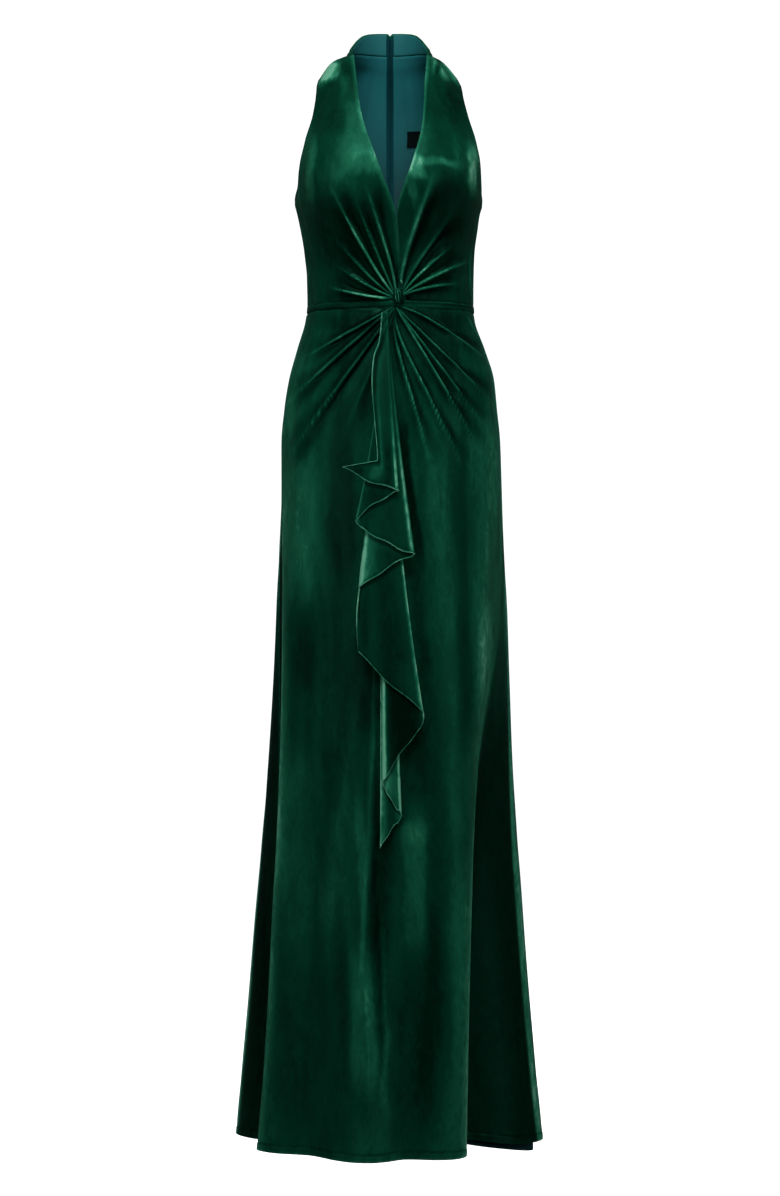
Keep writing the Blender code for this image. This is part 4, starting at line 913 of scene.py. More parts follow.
def velvet_piece(name, node, points, normal, pile_and_painted_light, lift, press, rim_sheen=0.0):
    piece = finish_shell(name, points, normal, VELVET, lift, press, pile_and_painted_light=pile_and_painted_light, rim_sheen=rim_sheen)
    keep(piece, "velvet", node)


def satin_piece(name, node, finish, points, normal, depth):
    """A plain shell whose outer face lies depth inside the points."""
    inner = points - normal * (depth + SATIN)
    keep(shell(name, inner, inner + normal * SATIN), finish, node)


# ---- Materials -----------------------------------------------------------------------------------


def put(tree, socket, value):
    """Sets a node's input to a number or colour, or links it to another node's output."""
    if isinstance(value, bpy.types.NodeSocket):
        tree.links.new(value, socket)
    else:
        socket.default_value = value


def set_inputs(tree, node, values):
    """Puts values into a node's inputs, by their names with _ for a space."""
    for name, value in values.items():
        put(tree, node.inputs[name.replace("_", " ")], value)


def add_node(tree, kind, **values):
    node = tree.nodes.new("ShaderNode" + kind)
    set_inputs(tree, node, values)
    return node


def calculate(tree, operation, *values):
    """Output of a Math node for the values."""
    node = tree.nodes.new("ShaderNodeMath")
    node.operation = operation
    for socket, value in zip(node.inputs, values):
        put(tree, socket, value)
    return node.outputs[0]


def own_place(tree):
    return tree.nodes.new("ShaderNodeTexCoord").outputs["Object"]


def noise(tree, scale, squeeze=1.0, detail=3.0, distortion=0.0):
    """Noise over the piece's own coordinates, its marks the longer upright the smaller squeeze is."""
    where = add_node(tree, "Mapping", Vector=own_place(tree), Scale=(1.0, 1.0, squeeze))
    marks = add_node(
        tree, "TexNoise", Vector=where.outputs["Vector"], Scale=scale, Detail=detail, Distortion=distortion
    )
    return marks.outputs["Fac"]


def ramp(tree, source, stops):
    """Colour over source, by stops of place and colour."""
    made = add_node(tree, "ValToRGB", Fac=source)
    elements = made.color_ramp.elements
    for stop, _ in stops[1:-1]:
        elements.new(stop)
    for element, (stop, colour) in zip(elements, stops):
        element.position = stop
        element.color = (*colour, 1.0)
    return made.outputs["Color"]


RAMP_LOW, RAMP_HIGH = 0.3, 0.7  # noise seldom leaves this range


def between(tree, source, low, high):
    """Colour from low to high over noise."""
    return ramp(tree, source, ((RAMP_LOW, low), (RAMP_HIGH, high)))


def bump(tree, height, strength, distance, below=None):
    """Normal of a relief, laid over the one below."""
    made = add_node(tree, "Bump", Height=height, Strength=strength, Distance=distance)
    if below is not None:
        put(tree, made.inputs["Normal"], below)
    return made.outputs["Normal"]


def new_material(name, base, roughness, specular, **more):
    """A material, its node tree and its shader, with the shader's plain values."""
    made = bpy.data.materials.new(name)
    made.use_nodes = True
    tree = made.node_tree
    shader = tree.nodes["Principled BSDF"]
    plain = {"Base_Color": (*base, 1.0), "Roughness": roughness, "Specular_IOR_Level": specular}
    set_inputs(tree, shader, plain | more)
    return made, tree, shader


# Velvet's colour from where its pile is shut or painted in shade, through where it lies plain, to where it
# stands open or carries a painted highlight. columns: place, colour
PILE_AND_LIGHT_COLOURS = (
    (0.0, (0.0001, 0.0036, 0.002)),
    (0.28, (0.0003, 0.012, 0.0064)),
    (0.5, (0.0009, 0.032, 0.0168)),
    (0.72, (0.007, 0.09, 0.048)),
    (0.88, (0.028, 0.19, 0.112)),
    (1.0, (0.115, 0.35, 0.23)),
)
VELVET_SPECULAR, GLOSS_TINT = 0.15, (0.06, 0.74, 0.44, 1.0)
VELVET_SHEEN, VELVET_SHEEN_ROUGHNESS, VELVET_SHEEN_TINT = 0.08, 0.24, (0.06, 0.6, 0.38, 1.0)
SMOOTHER, ROUGHER = 0.06, 0.09  # how far the velvet's roughness strays


def velvet_material(name, roughness, lift):
    """Short dense pile, near-black green where it is shut or painted in shade and paler where it opens or
    carries a painted highlight, with a tinted gloss.
    """
    made, tree, shader = new_material(
        name, PILE_AND_LIGHT_COLOURS[2][1], roughness, VELVET_SPECULAR, Specular_Tint=GLOSS_TINT,
        Sheen_Weight=VELVET_SHEEN, Sheen_Roughness=VELVET_SHEEN_ROUGHNESS, Sheen_Tint=VELVET_SHEEN_TINT,
    )
    stored = tree.nodes.new("ShaderNodeAttribute")
    stored.attribute_name = "pile_and_painted_light"
    pile_and_painted_light = stored.outputs["Fac"]
    strokes = noise(tree, 9.0, 0.34, 5.0, 0.8)
    marks = noise(tree, 85.0, 0.45, 4.0, 1.4)
    fine = noise(tree, 260.0, 0.5, 2.0, 0.3)
    tone = calculate(tree, "MULTIPLY_ADD", strokes, 0.26, 0.37 + lift)
    tone = calculate(tree, "MULTIPLY_ADD", fine, 0.1, tone)
    # crushed marks show the more the further the stored pile and painted light is from plain
    about = calculate(tree, "SUBTRACT", marks, 0.5)
    depth = calculate(tree, "MULTIPLY_ADD", calculate(tree, "ABSOLUTE", pile_and_painted_light), 0.55, 0.12)
    tone = calculate(tree, "MULTIPLY_ADD", about, depth, tone)
    tone = calculate(tree, "MULTIPLY_ADD", pile_and_painted_light, 0.5, tone)
    lie = noise(tree, 11.0, 0.4, 3.0, 0.9)
    soft = bump(tree, noise(tree, 120.0, 0.6, 3.0, 0.4), 0.16, 0.0012)
    hairs = bump(tree, noise(tree, 2600.0, 0.7, 2.0), 0.35, 0.0003, soft)
    rough = between(tree, lie, (roughness - SMOOTHER,) * 3, (roughness + ROUGHER,) * 3)
    colour = ramp(tree, tone, PILE_AND_LIGHT_COLOURS)
    set_inputs(tree, shader, {"Base_Color": colour, "Roughness": rough, "Normal": hairs})
    return made


def shaded_by_height(tree, colour, low_z, high_z, low_tone, high_tone):
    """Colour times a painted light and shade that changes from one height to another."""
    parts = tree.nodes.new("ShaderNodeSeparateXYZ")
    put(tree, parts.inputs[0], own_place(tree))
    level = add_node(
        tree, "MapRange", Value=parts.outputs["Z"], From_Min=low_z, From_Max=high_z, To_Min=low_tone,
        To_Max=high_tone,
    )
    scaled = tree.nodes.new("ShaderNodeVectorMath")
    scaled.operation = "SCALE"
    put(tree, scaled.inputs[0], colour)
    put(tree, scaled.inputs["Scale"], level.outputs["Result"])
    return scaled.outputs["Vector"]


def threads(tree, axis, count):
    """The rise and fall of threads that follow one another along axis."""
    wave = add_node(tree, "TexWave", Vector=own_place(tree), Scale=count, Distortion=0.4)
    wave.bands_direction = axis
    return wave.outputs["Fac"]


SATIN_TINT = (0.35, 0.8, 0.85, 1.0)


def woven_material(name, dark, light, roughness, count, specular, sheen, height_shade):
    """Plain close weave: fine threads both ways over a slow change of tone, and, where height_shade is given,
    painted light and shade that change with height down the body.
    """
    made, tree, shader = new_material(
        name, light, roughness, specular, Sheen_Weight=sheen, Sheen_Tint=SATIN_TINT
    )
    colour = between(tree, noise(tree, 14.0, 0.5, 3.0, 0.5), dark, light)
    if height_shade:
        colour = shaded_by_height(tree, colour, *height_shade)
    soft = bump(tree, noise(tree, 60.0, 0.5, 3.0, 0.3), 0.12, 0.001)
    both = calculate(tree, "ADD", threads(tree, "X", count), threads(tree, "Z", count))
    weave = bump(tree, both, 0.25, 0.00012, soft)
    set_inputs(tree, shader, {"Base_Color": colour, "Normal": weave})
    return made


def enamel_material():
    made, tree, shader = new_material(
        "enamel_green", (0.006, 0.11, 0.08), 0.32, 0.5, Metallic=0.55, Coat_Weight=0.4, Coat_Roughness=0.18
    )
    wear = noise(tree, 900.0)
    colour = between(tree, wear, (0.004, 0.085, 0.062), (0.01, 0.14, 0.1))
    rough = between(tree, wear, (0.26,) * 3, (0.42,) * 3)
    relief = bump(tree, wear, 0.1, 0.00008)
    set_inputs(tree, shader, {"Base_Color": colour, "Roughness": rough, "Normal": relief})
    return made


# columns: name, dark, light, roughness, threads, specular, sheen, height_shade (z, z, tone, tone)
WOVEN = {
    # the lining is painted lighter near the top and darker lower down: painted light and shade
    "lining": (
        "lining_teal", (0.005, 0.076, 0.084), (0.0076, 0.096, 0.106), 0.6, 2600.0, 0.12, 0.03,
        (-0.2, -0.05, 0.42, 1.36),
    ),
    "facing": (
        "facing_teal", (0.0085, 0.106, 0.113), (0.012, 0.13, 0.138), 0.6, 2600.0, 0.16, 0.03, None,
    ),
    "tape": (
        "tape_teal", (0.0004, 0.025, 0.033), (0.0007, 0.034, 0.043), 0.7, 1800.0, 0.05, 0.0, None,
    ),
    "coil": (
        "coil_teal", (0.001, 0.038, 0.042), (0.002, 0.052, 0.056), 0.55, 3000.0, 0.15, 0.0, None,
    ),
    "label": (
        "label_black", (0.0005, 0.003, 0.0026), (0.0012, 0.0054, 0.0048), 0.75, 3200.0, 0.03, 0.0, None,
    ),
}
MATERIALS = {
    "velvet": velvet_material("velvet_body", 0.38, -0.03),
    # the cascade's velvet is the body's made darker: painted shade
    "shaded_ruffle_velvet": velvet_material("velvet_ruffle_shaded", 0.4, -0.075),
    "enamel": enamel_material(),
} | {finish: woven_material(*row) for finish, row in WOVEN.items()}


# ---- Bodice --------------------------------------------------------------------------------------

BODICE_FAN_LAST = 95.0
BODICE_FAN_START = 0.003
NECK_HOLD = 2.0
FLANK_START, FLANK_REACH = 0.2, 0.3
ARM_EDGE, ARM_TOP = 0.006, 0.004  # heights over which the armhole's rolled edge starts and ends
SEAM_STEPS, ARM_STEPS, TOP_STEPS, NECK_STEPS = 60, 90, 16, 160
FRONT_COLUMNS, FRONT_ROWS, FRONT_ROW_POWER = 132, 150, 1.2
FRONT_CROWDING = (0.020, 2.2)  # width and gain of the columns' crowding at the creases
CREASE_LEFT = 0.3  # how much of a crease's turn is left where its columns crowd
NECK_RADIUS = 0.12  # turns a plan angle into a distance along the neckline
WAIST_DIP = {1: 0.35, -1: 0.12}  # how deep the fronts' waist seams are, as shares of a plain seam
# painted highlight along the neckline's piped edge, and painted shade just inside it
PIPE_HIGHLIGHT, PIPE_LINE = 0.5, 0.0007
PIPE_SHADE, PIPE_SHADE_REACH, PIPE_SHADE_AT = 0.26, 0.002, 0.003


def crowded(count, marks, width, gain):
    """Values from 0 to 1 that lie closer together round the marks."""
    fine = np.linspace(0, 1, 2001)
    density = 1 + sum(gain * bell(fine, width, mark) for mark in marks)
    total = np.concatenate([[0], np.cumsum((density[1:] + density[:-1]) / 2)])
    return np.interp(np.linspace(0, 1, count), total / total[-1], fine)


def outer_edge(side, stops):
    """Side seam, armhole, shoulder and neck seam of a front, as plan angle and z, at fan angles."""
    seam = math.pi / 2 - seam_angle(SEAM, WAIST_Z)
    chain = [(seam, z) for z in np.linspace(WAIST_Z + SEAM, UNDERARM_Z, SEAM_STEPS)]
    for z in np.linspace(UNDERARM_Z, SHOULDER_TIP_Z, ARM_STEPS)[1:-1]:
        chain.append((min(math.radians(float(ARM["front"](z))), seam), z))
    neck_z = float(BAND["seam"](90.0)) - SEAM
    chain += [(seam, z) for z in np.linspace(SHOULDER_TIP_Z, neck_z, TOP_STEPS)]
    x, z = NECKLINE[side][0]
    top = abs(float(angle_at(np.array(x), np.array(z))))
    for angle in np.linspace(seam, top, TOP_STEPS)[1:]:
        chain.append((angle, float(BAND["seam"](math.degrees(angle))) - SEAM))
    chain = np.array(chain)
    x = radius(side * chain[:, 0], chain[:, 1]) * np.sin(chain[:, 0])
    focus_x, focus_z = BODICE_FOCUS[side]
    fan = np.degrees(np.arctan2(chain[:, 1] - focus_z, x - side * focus_x))
    fan = np.maximum.accumulate(fan + np.linspace(0, 1e-3, len(fan)))
    fan = (fan - fan[0]) / (fan[-1] - fan[0])
    share = stops / stops[-1]
    return np.stack([side * np.interp(share, fan, chain[:, 0]), np.interp(share, fan, chain[:, 1])], axis=1)


def fan_start(side, stops):
    """Inner end of a front's fan, round its focus, as plan angle and z."""
    focus_x, focus_z = BODICE_FOCUS[side]
    across = focus_x + side * BODICE_FAN_START * np.cos(np.radians(stops))
    height = np.maximum(focus_z + BODICE_FAN_START * np.sin(np.radians(stops)), WAIST_Z + SEAM)
    height[0] = WAIST_Z + SEAM
    return np.stack([angle_at(across, height), height], axis=1)


def neck_edge(side, v):
    """The neckline from its foot to the neckband, as plan angle and z, at shares v of its length."""
    edge_x = smooth_through([row[1] for row in NECKLINE[side]], [row[0] for row in NECKLINE[side]])
    z = np.linspace(NECKLINE[side][-1][1], NECKLINE[side][0][1], NECK_STEPS)
    neck = np.stack([angle_at(edge_x(z), z), z], axis=1)
    scaled = neck * np.array([NECK_RADIUS, 1.0])
    lengths = np.concatenate([[0], np.cumsum(np.linalg.norm(np.diff(scaled, axis=0), axis=1))])
    return np.stack([np.interp(v * lengths[-1], lengths, neck[:, k]) for k in (0, 1)], axis=1)


def bodice_grid(side):
    """Plan angle and z of a front's grid: a fan from the waist's focus to the side, armhole and shoulder."""
    marks = [((near - far) * CREASE_LEFT + far) / BODICE_FAN_LAST for near, far, *_ in BODICE_GATHERS[side]]
    stops = BODICE_FAN_LAST * crowded(FRONT_COLUMNS, marks, *FRONT_CROWDING)
    v = np.linspace(0, 1, FRONT_ROWS) ** FRONT_ROW_POWER
    start, end, neck = fan_start(side, stops), outer_edge(side, stops), neck_edge(side, v)
    start[-1], end[-1] = neck[0], neck[-1]
    edges = []
    for edge in (start, end, neck):
        across = radius(edge[:, 0], edge[:, 1]) * np.sin(edge[:, 0])
        edges.append(np.stack([edge[:, 0], edge[:, 1], across], axis=1))
    start, end, neck = edges
    u, v = (stops / stops[-1])[None, :, None], v[:, None, None]
    bow = neck[:, None] - ((1 - v) * neck[0] + v * neck[-1])
    patch = (1 - v) * start[None] + v * end[None] + u**NECK_HOLD * bow
    turned = smooth_step((u[..., 0] - FLANK_START) / FLANK_REACH)
    angle = (1 - turned) * patch[..., 0] + turned * angle_at(patch[..., 2], patch[..., 1])
    angle[-1] = end[:, 0]
    return angle, patch[..., 1]


def arm_share(z):
    """1 along the armhole, 0 below and above it."""
    below = smooth_step((z - UNDERARM_Z) / ARM_EDGE)
    return below * (1 - smooth_step((z - SHOULDER_TIP_Z + ARM_TOP / 2) / ARM_TOP))


def bodice_front(side):
    word = SIDE_WORDS[side]
    angle, z = bodice_grid(side)
    x = radius(angle, z) * np.sin(angle)
    rise, bright, shade = gathers(x, z, BODICE_FOCUS[side], BODICE_GATHERS[side], side, 1)
    points, normal, pile_and_painted_light = form(angle, z, rise)
    side_far = edge_distance(points, 0, True)
    neck_far = edge_distance(points, 1, True)
    arm = arm_share(z)
    press = seam_dip(side_far) * (1 - arm) + seam_dip(edge_distance(points, 1, False)) * WAIST_DIP[side]
    lift = bead(neck_far) + bead(side_far) * arm
    # painted highlight and painted shade along the neckline's piping
    piping_light = PIPE_HIGHLIGHT * bell(neck_far, PIPE_LINE) - PIPE_SHADE * bell(neck_far, PIPE_SHADE_REACH, PIPE_SHADE_AT)
    pile_and_painted_light = laid_over(pile_and_painted_light, bright, shade) + piping_light
    velvet_piece("velvet_front_" + word, "bodice_front_" + word, points, normal, pile_and_painted_light, lift, press, 0.2)


def back_outline(z):
    """Plan angle of the back's side edge: the side seam, the armhole and the shoulder."""
    edge = np.where((z > UNDERARM_Z) & (z < SHOULDER_TIP_Z), ARM["back"](z), 90.0)
    return np.maximum(edge, 90.0) + np.degrees(seam_angle(SEAM, WAIST_Z))


BACK_TOP_Z, BACK_BEND_Z = -0.026, -0.075  # where the back ends, and where it starts to follow the neckband


def back_grid(side, centre, inset, rows=150, columns=70):
    """Plan angle and z from the centre back to the side, up to the neckband's seam."""
    base = np.linspace(WAIST_Z + SEAM + inset, BACK_TOP_Z, rows)
    share = np.linspace(0, 1, columns)
    outer = back_outline(base) + np.degrees(seam_angle(inset, base))
    inner = 180.0 - np.degrees(seam_angle(centre, base))
    angle = inner[:, None] + (outer - inner)[:, None] * share[None]
    top = BAND["seam"](angle[-1]) - SEAM
    reach = smooth_step((base - BACK_BEND_Z) / (BACK_TOP_Z - BACK_BEND_Z))[:, None]
    z = base[:, None] + (top - base[-1])[None] * reach
    return side * np.radians(angle), z


def bodice_back(side):
    word = SIDE_WORDS[side]
    angle, z = back_grid(side, SEAM, 0.0)
    points, normal, pile_and_painted_light = form(angle, z)
    side_far = edge_distance(points, 1, True)
    arm = arm_share(z)
    press = seam_dip(edge_distance(points, 0, False)) + seam_dip(edge_distance(points, 0, True))
    press = press + seam_dip(side_far) * (1 - arm)
    press = press + seam_dip(edge_distance(points, 1, False)) * CENTRE_BACK_DIP
    lift = bead(side_far) * arm
    velvet_piece("velvet_back_" + word, "bodice_back_" + word, points, normal, pile_and_painted_light, lift, press, 0.2)


FACING_SHORT, FACING_SHORT_DEG, FACING_DEPTH = 0.0012, 3.0, 0.0007  # how far facings and linings fall short
LINING_DEPTH, LINING_EDGE = 0.002, 0.0003
DART_RISE, DART_REACH, DART_AT, DART_TOP_Z = 0.0006, 0.0012, 0.052, -0.19


def back_lining(side):
    word = SIDE_WORDS[side]
    angle, z = back_grid(side, ZIP_HALF, FACING_SHORT, 110, 46)
    points, normal, _ = form(angle, z)
    far = edge_distance(points, 1, False)
    dart = DART_RISE * bell(far, DART_REACH, DART_AT) * smooth_step((DART_TOP_Z - z) / 0.03)
    depth = LINING_DEPTH - LINING_EDGE * bell(far, 0.0016) + dart
    satin_piece("lining_back_" + word, "back_lining_" + word, "lining", points, normal, depth[..., None])


BAND_ROLL, BAND_ROLL_REACH, BAND_CLOSING = 0.0011, 0.0022, 0.008  # the rolled top, flat where the ends meet


def neckband(side, facing):
    word = SIDE_WORDS[side]
    centre = ZIP_HALF if facing else SEAM
    lower = FACING_SHORT if facing else 0.0
    end = NECKBAND_END_DEG + (FACING_SHORT_DEG if facing else 0.0)
    first = math.degrees(seam_angle(centre, 0.0))
    angle = np.linspace(180.0 - first, end, 90)
    seam = BAND["seam"](angle) + SEAM + lower
    top = BAND["top"](angle) - lower
    z = seam[None] + (top - seam)[None] * np.linspace(0, 1, 16)[:, None]
    angle = side * np.radians(np.broadcast_to(angle, z.shape))
    points, normal, pile_and_painted_light = form(angle, z)
    low, high = edge_distance(points, 0, False), edge_distance(points, 0, True)
    if facing:
        satin_piece("facing_neck_" + word, "neck_facing_" + word, "facing", points, normal, FACING_DEPTH)
        return
    closing = smooth_step(edge_distance(points, 1, True) / BAND_CLOSING)
    roll = BAND_ROLL * bell(high, BAND_ROLL_REACH) * closing
    press = seam_dip(low) * closing
    # painted sheen along the band's rolled top
    pile_and_painted_light = pile_and_painted_light + RIM_SHEEN * bell(high, RIM_SHEEN_LINE) * closing
    velvet_piece("velvet_neckband_" + word, "neckband_" + word, points, normal, pile_and_painted_light, roll, press, 0.05)


# ---- Waist ---------------------------------------------------------------------------------------

# Plan angles that the band's pieces start and end at, by the sign of x in front.
BAND_FRONT_DEG, BAND_SIDE_DEG, BAND_BACK_DEG = {1: 6.2, -1: -5.8}, 89.88, (90.12, 179.75)
BAND_COLUMNS_ALONG, BAND_ROWS = 150, 14
BAND_FULL, BAND_STAND, BAND_WAVE, BAND_PRESS = 0.55, 0.00016, 0.000125, 0.0002


def waistband(side, back):
    word = SIDE_WORDS[side]
    start, end = BAND_BACK_DEG if back else (BAND_FRONT_DEG[side], BAND_SIDE_DEG)
    angle = np.radians(np.linspace(start, end, BAND_COLUMNS_ALONG)) * side
    share = np.linspace(0, 1, BAND_ROWS)
    z = (WAIST_Z - BAND_HEIGHT + SEAM) + (BAND_HEIGHT - 2 * SEAM) * share
    angle, z = np.meshgrid(angle, z)
    out = radius(angle, z)
    points = place(angle, z, out)
    normal = outward_normals(points)
    swell = np.sin(math.pi * np.broadcast_to(share[:, None], z.shape)) ** BAND_FULL
    run = out * angle
    lift = (BAND_STAND + BAND_WAVE * np.sin(run * 330 + 2.2 * np.sin(run * 47))) * swell
    pile_and_painted_light = patches(points)
    low, high = edge_distance(points, 0, False), edge_distance(points, 0, True)
    # painted highlight and painted shade along the front band's edges
    if not back and side > 0:
        pile_and_painted_light = pile_and_painted_light - 0.16 + 0.34 * bell(high, 0.0008, 0.0006) * smooth_step((run - 0.035) / 0.03)
        pile_and_painted_light = pile_and_painted_light - 0.45 * bell(high, 0.0014, 0.0032)
    elif not back:
        pile_and_painted_light = pile_and_painted_light - 0.4 * bell(low, 0.0016) - 0.3 * smooth_step((0.008 - low) / 0.006)
    where = ("back_" if back else "front_") + word
    press = -BAND_PRESS * (1 - swell)
    velvet_piece("velvet_band_" + where, "waistband_" + where, points, normal, pile_and_painted_light, lift, press)


TWIST_SET_BACK = 0.0048  # its middle behind the bodice's face
TWIST_PLEATS, TWIST_PLEAT, TWIST_LEAN = 11, 0.17, 0.001  # their number round it, and their depth as a share
TWIST_LEVELS, TWIST_AROUND = 60, 144


def front_twist():
    """The small knot: an upright bundle of narrow pleats, drawn in and turned under at its foot."""
    x0, z0 = TWIST_CENTRE
    half_x, half_y, half_z = TWIST_HALF
    angle = float(angle_at(np.array(x0), np.array(z0)))
    face = AXIS_Y - float(radius(np.array(angle), np.array(z0))) * math.cos(angle)
    middle_y = face - TWIST_SET_BACK
    around = np.linspace(0, 2 * math.pi, TWIST_AROUND + 1)[:-1]
    around, level = np.meshgrid(around, np.linspace(-1, 1, TWIST_LEVELS))
    rise = np.maximum(np.clip(1 - np.abs(level) ** 3.2, 0, 1) ** 0.5, 0.1)
    fold = TWIST_PLEATS * around + 0.5 * level + 0.7 * np.sin(2 * around + level)
    crest = 0.5 + 0.5 * np.cos(fold)
    pleat = TWIST_PLEAT * (crest**0.6 - 0.5) * np.clip(1.25 - 0.5 * np.abs(level), 0, 1)
    wide = half_x * (0.86 + 0.14 * np.cos(level * 2.4 + 0.5)) * rise * (1 + pleat)
    deep = half_y * rise * (1 + pleat)
    x = x0 + wide * np.sin(around) - TWIST_LEAN * level
    y = middle_y - deep * np.cos(around)
    z = z0 + half_z * level
    points = np.stack([x, y, z], axis=-1)
    # painted highlights on the pleats' crests and painted shade between them and at the bundle's sides
    pile_and_painted_light = 1.5 * (crest**3 - 0.42) * np.clip(rise * 1.2, 0, 1)
    pile_and_painted_light = pile_and_painted_light - 1.1 * smooth_step((np.abs(x - x0 + TWIST_LEAN) - 0.003) / 0.0024)
    rows, columns = points.shape[:2]
    index = grid_index(rows, columns, True)
    foot, head = rows * columns, rows * columns + 1
    caps = [(foot, int(b), int(a)) for a, b in zip(index[0, :-1], index[0, 1:])]
    caps += [(head, int(a), int(b)) for a, b in zip(index[-1, :-1], index[-1, 1:])]
    ends = points[[0, -1]].mean(axis=1)
    piece = new_piece(
        "velvet_twist", np.concatenate([points.reshape(-1, 3), ends]), grid_faces(index).tolist() + caps
    )
    store_pile_and_light(piece, np.concatenate([pile_and_painted_light.ravel(), [0.0, 0.0]]))
    keep(piece, "shaded_ruffle_velvet", "front_twist")


# ---- Skirt ---------------------------------------------------------------------------------------

SKIRT_TOP = WAIST_Z - BAND_HEIGHT
FAN_DROP = 0.125
SEAM_POWER = 1.25
CENTRE_POWER = 1.1
FAN_ROWS, LOWER_ROWS, SIDE_COLUMNS = 72, 104, 124
FAN_ROW_POWER, SKIRT_CROWDING = 1.15, (0.016, 0.9)
BACK_ROWS, BACK_COLUMNS, BACK_ROW_POWER = 150, 116, 1.08
LINING_ROWS, LINING_COLUMNS, LINING_ROW_POWER = 90, 200, 1.1
LINING_BLEND = 0.004  # how softly the lining goes over from one fold of the velvet to the next
CENTRE_BACK_DIP = 0.8  # as a share of a plain seam
# mm from the hem
HEM_STEPS = (25.0, 19.0, 15.0, 12.5, 11.0, 10.2, 9.6, 9.0, 8.4, 7.8, 6.8, 5.0, 3.0, 1.6, 0.8, 0.0)


def down_steps(count, power, length):
    """Shares of the way down the skirt, close together about the hem's stitches."""
    near = 1 - np.array(HEM_STEPS) / 1000 / (length * power)
    return np.concatenate([np.linspace(0, near[0], count, endpoint=False), near])


def fan_place(side, middle, seam, s, level, centre_z, edge_z, edge_share):
    """Plan angle and z of the skirt front's grid: a fan under the waist that turns into level rows."""
    bend = (1 - level) * np.sin(s * math.pi / 2) + level * s
    drop = (1 - level) * (1 - np.cos(s * math.pi / 2)) + level * s**2
    return middle + (side * seam - middle) * edge_share * bend, centre_z + (edge_z - centre_z) * drop


def crease_marks(side, middle, seam):
    """Places across the fan, from 0 to 1, where its creases run."""
    s = np.linspace(0, 1, 400)
    marks = []
    share = np.linspace(0.1, 1, 60)
    tops = SKIRT_TOP - SEAM
    angle, z = fan_place(
        side, middle, seam, s[None], 0.0, (tops - FAN_DROP * share)[:, None], tops, share[:, None]
    )
    x = radius(angle, z) * np.sin(angle)
    far, turn, _ = round_focus(x, z, SKIRT_FOCUS, side, -1)
    for near_deg, far_deg, reach, *_ in SKIRT_GATHERS[side]:
        for part in (0.3, 0.55, 0.8):
            goal = far_deg + (near_deg - far_deg) * math.exp(-part * reach / GATHER_BEND)
            miss = np.abs(turn - goal) + np.abs(far - part * reach) * 400
            marks.append(s[np.unravel_index(np.argmin(miss), miss.shape)[1]])
    return marks


def hem_lift(angle, z):
    """How far the hem is drawn up in the deep trough on the wearer's left, and drops a little in front."""
    near = smooth_step((HEM_LIFT_START - z) / (HEM_LIFT_START - HEM_Z))
    away = wrapped(np.degrees(angle))
    return near * sum(rise * bell(away, reach, middle) for middle, reach, rise in HEM_LIFTS)


def skirt_front_grid():
    """Plan angle and z of the skirt front's grid, its columns closer together at the creases."""
    middle = float(angle_at(np.array(SKIRT_FOCUS[0]), np.array(SKIRT_TOP)))
    seam = math.pi / 2 - seam_angle(SEAM, WAIST_Z)
    share = np.linspace(0.004, 1, FAN_ROWS) ** FAN_ROW_POWER
    q = down_steps(LOWER_ROWS, FAN_ROW_POWER, SKIRT_TOP - HEM_Z)[1:]
    edge_share = np.concatenate([share, np.ones(len(q))])
    top, centre_top = SKIRT_TOP - SEAM, SKIRT_TOP - FAN_DROP
    edge_z = np.concatenate([np.full(FAN_ROWS, top), SKIRT_TOP + (HEM_Z - SKIRT_TOP) * q**SEAM_POWER])
    centre_low = centre_top + (HEM_Z - centre_top) * q**CENTRE_POWER
    centre_z = np.concatenate([top - FAN_DROP * share, centre_low])
    level = np.concatenate([np.zeros(FAN_ROWS), smooth_step(q * 2.2)])
    angles, heights = [], []
    for side in (-1, 1):
        u = crowded(SIDE_COLUMNS, crease_marks(side, middle, seam), *SKIRT_CROWDING)
        s = u[::-1] if side < 0 else u[1:]
        angle, z = fan_place(
            side, middle, seam, s[None], level[:, None], centre_z[:, None], edge_z[:, None],
            edge_share[:, None],
        )
        angles.append(angle)
        heights.append(z)
    angle, z = np.concatenate(angles, axis=1), np.concatenate(heights, axis=1)
    return angle, z + hem_lift(angle, z)


def skirt_front():
    angle, z = skirt_front_grid()
    x = radius(angle, z) * np.sin(angle)
    rise, bright, shade = np.zeros_like(x), np.zeros_like(x), np.zeros_like(x)
    for side, rows in SKIRT_GATHERS.items():
        near_side = smooth_step(side * (x - SKIRT_FOCUS[0]) / 0.01 + 0.5)
        more_rise, more_bright, more_shade = gathers(x, z, SKIRT_FOCUS, rows, side, -1)
        rise, bright = rise + near_side * more_rise, bright + near_side * more_bright
        shade = shade + near_side * more_shade
    points, normal, pile_and_painted_light = form(angle, z, rise)
    edges, share = fold_edge_sheen_and_shade(points)
    pile_and_painted_light = laid_over(pile_and_painted_light * (1 - share) + edges, bright, shade)
    hem_far = edge_distance(points, 0, True)
    along = edge_distance(points, 1, False)
    press = seam_dip(edge_distance(points, 1, True)) + seam_dip(along)
    deep = np.where(x < SKIRT_FOCUS[0], 0.6, 0.1)
    press = press + seam_dip(np.abs(z - SKIRT_TOP)) * smooth_step(np.abs(x - SKIRT_FOCUS[0]) / 0.02) * deep
    pile_and_painted_light, lift = pile_and_painted_light + hem_sheen_and_stitches(hem_far), hem(hem_far, along)
    velvet_piece("velvet_skirt_front", "skirt_front", points, normal, pile_and_painted_light, lift, press, 0.3)


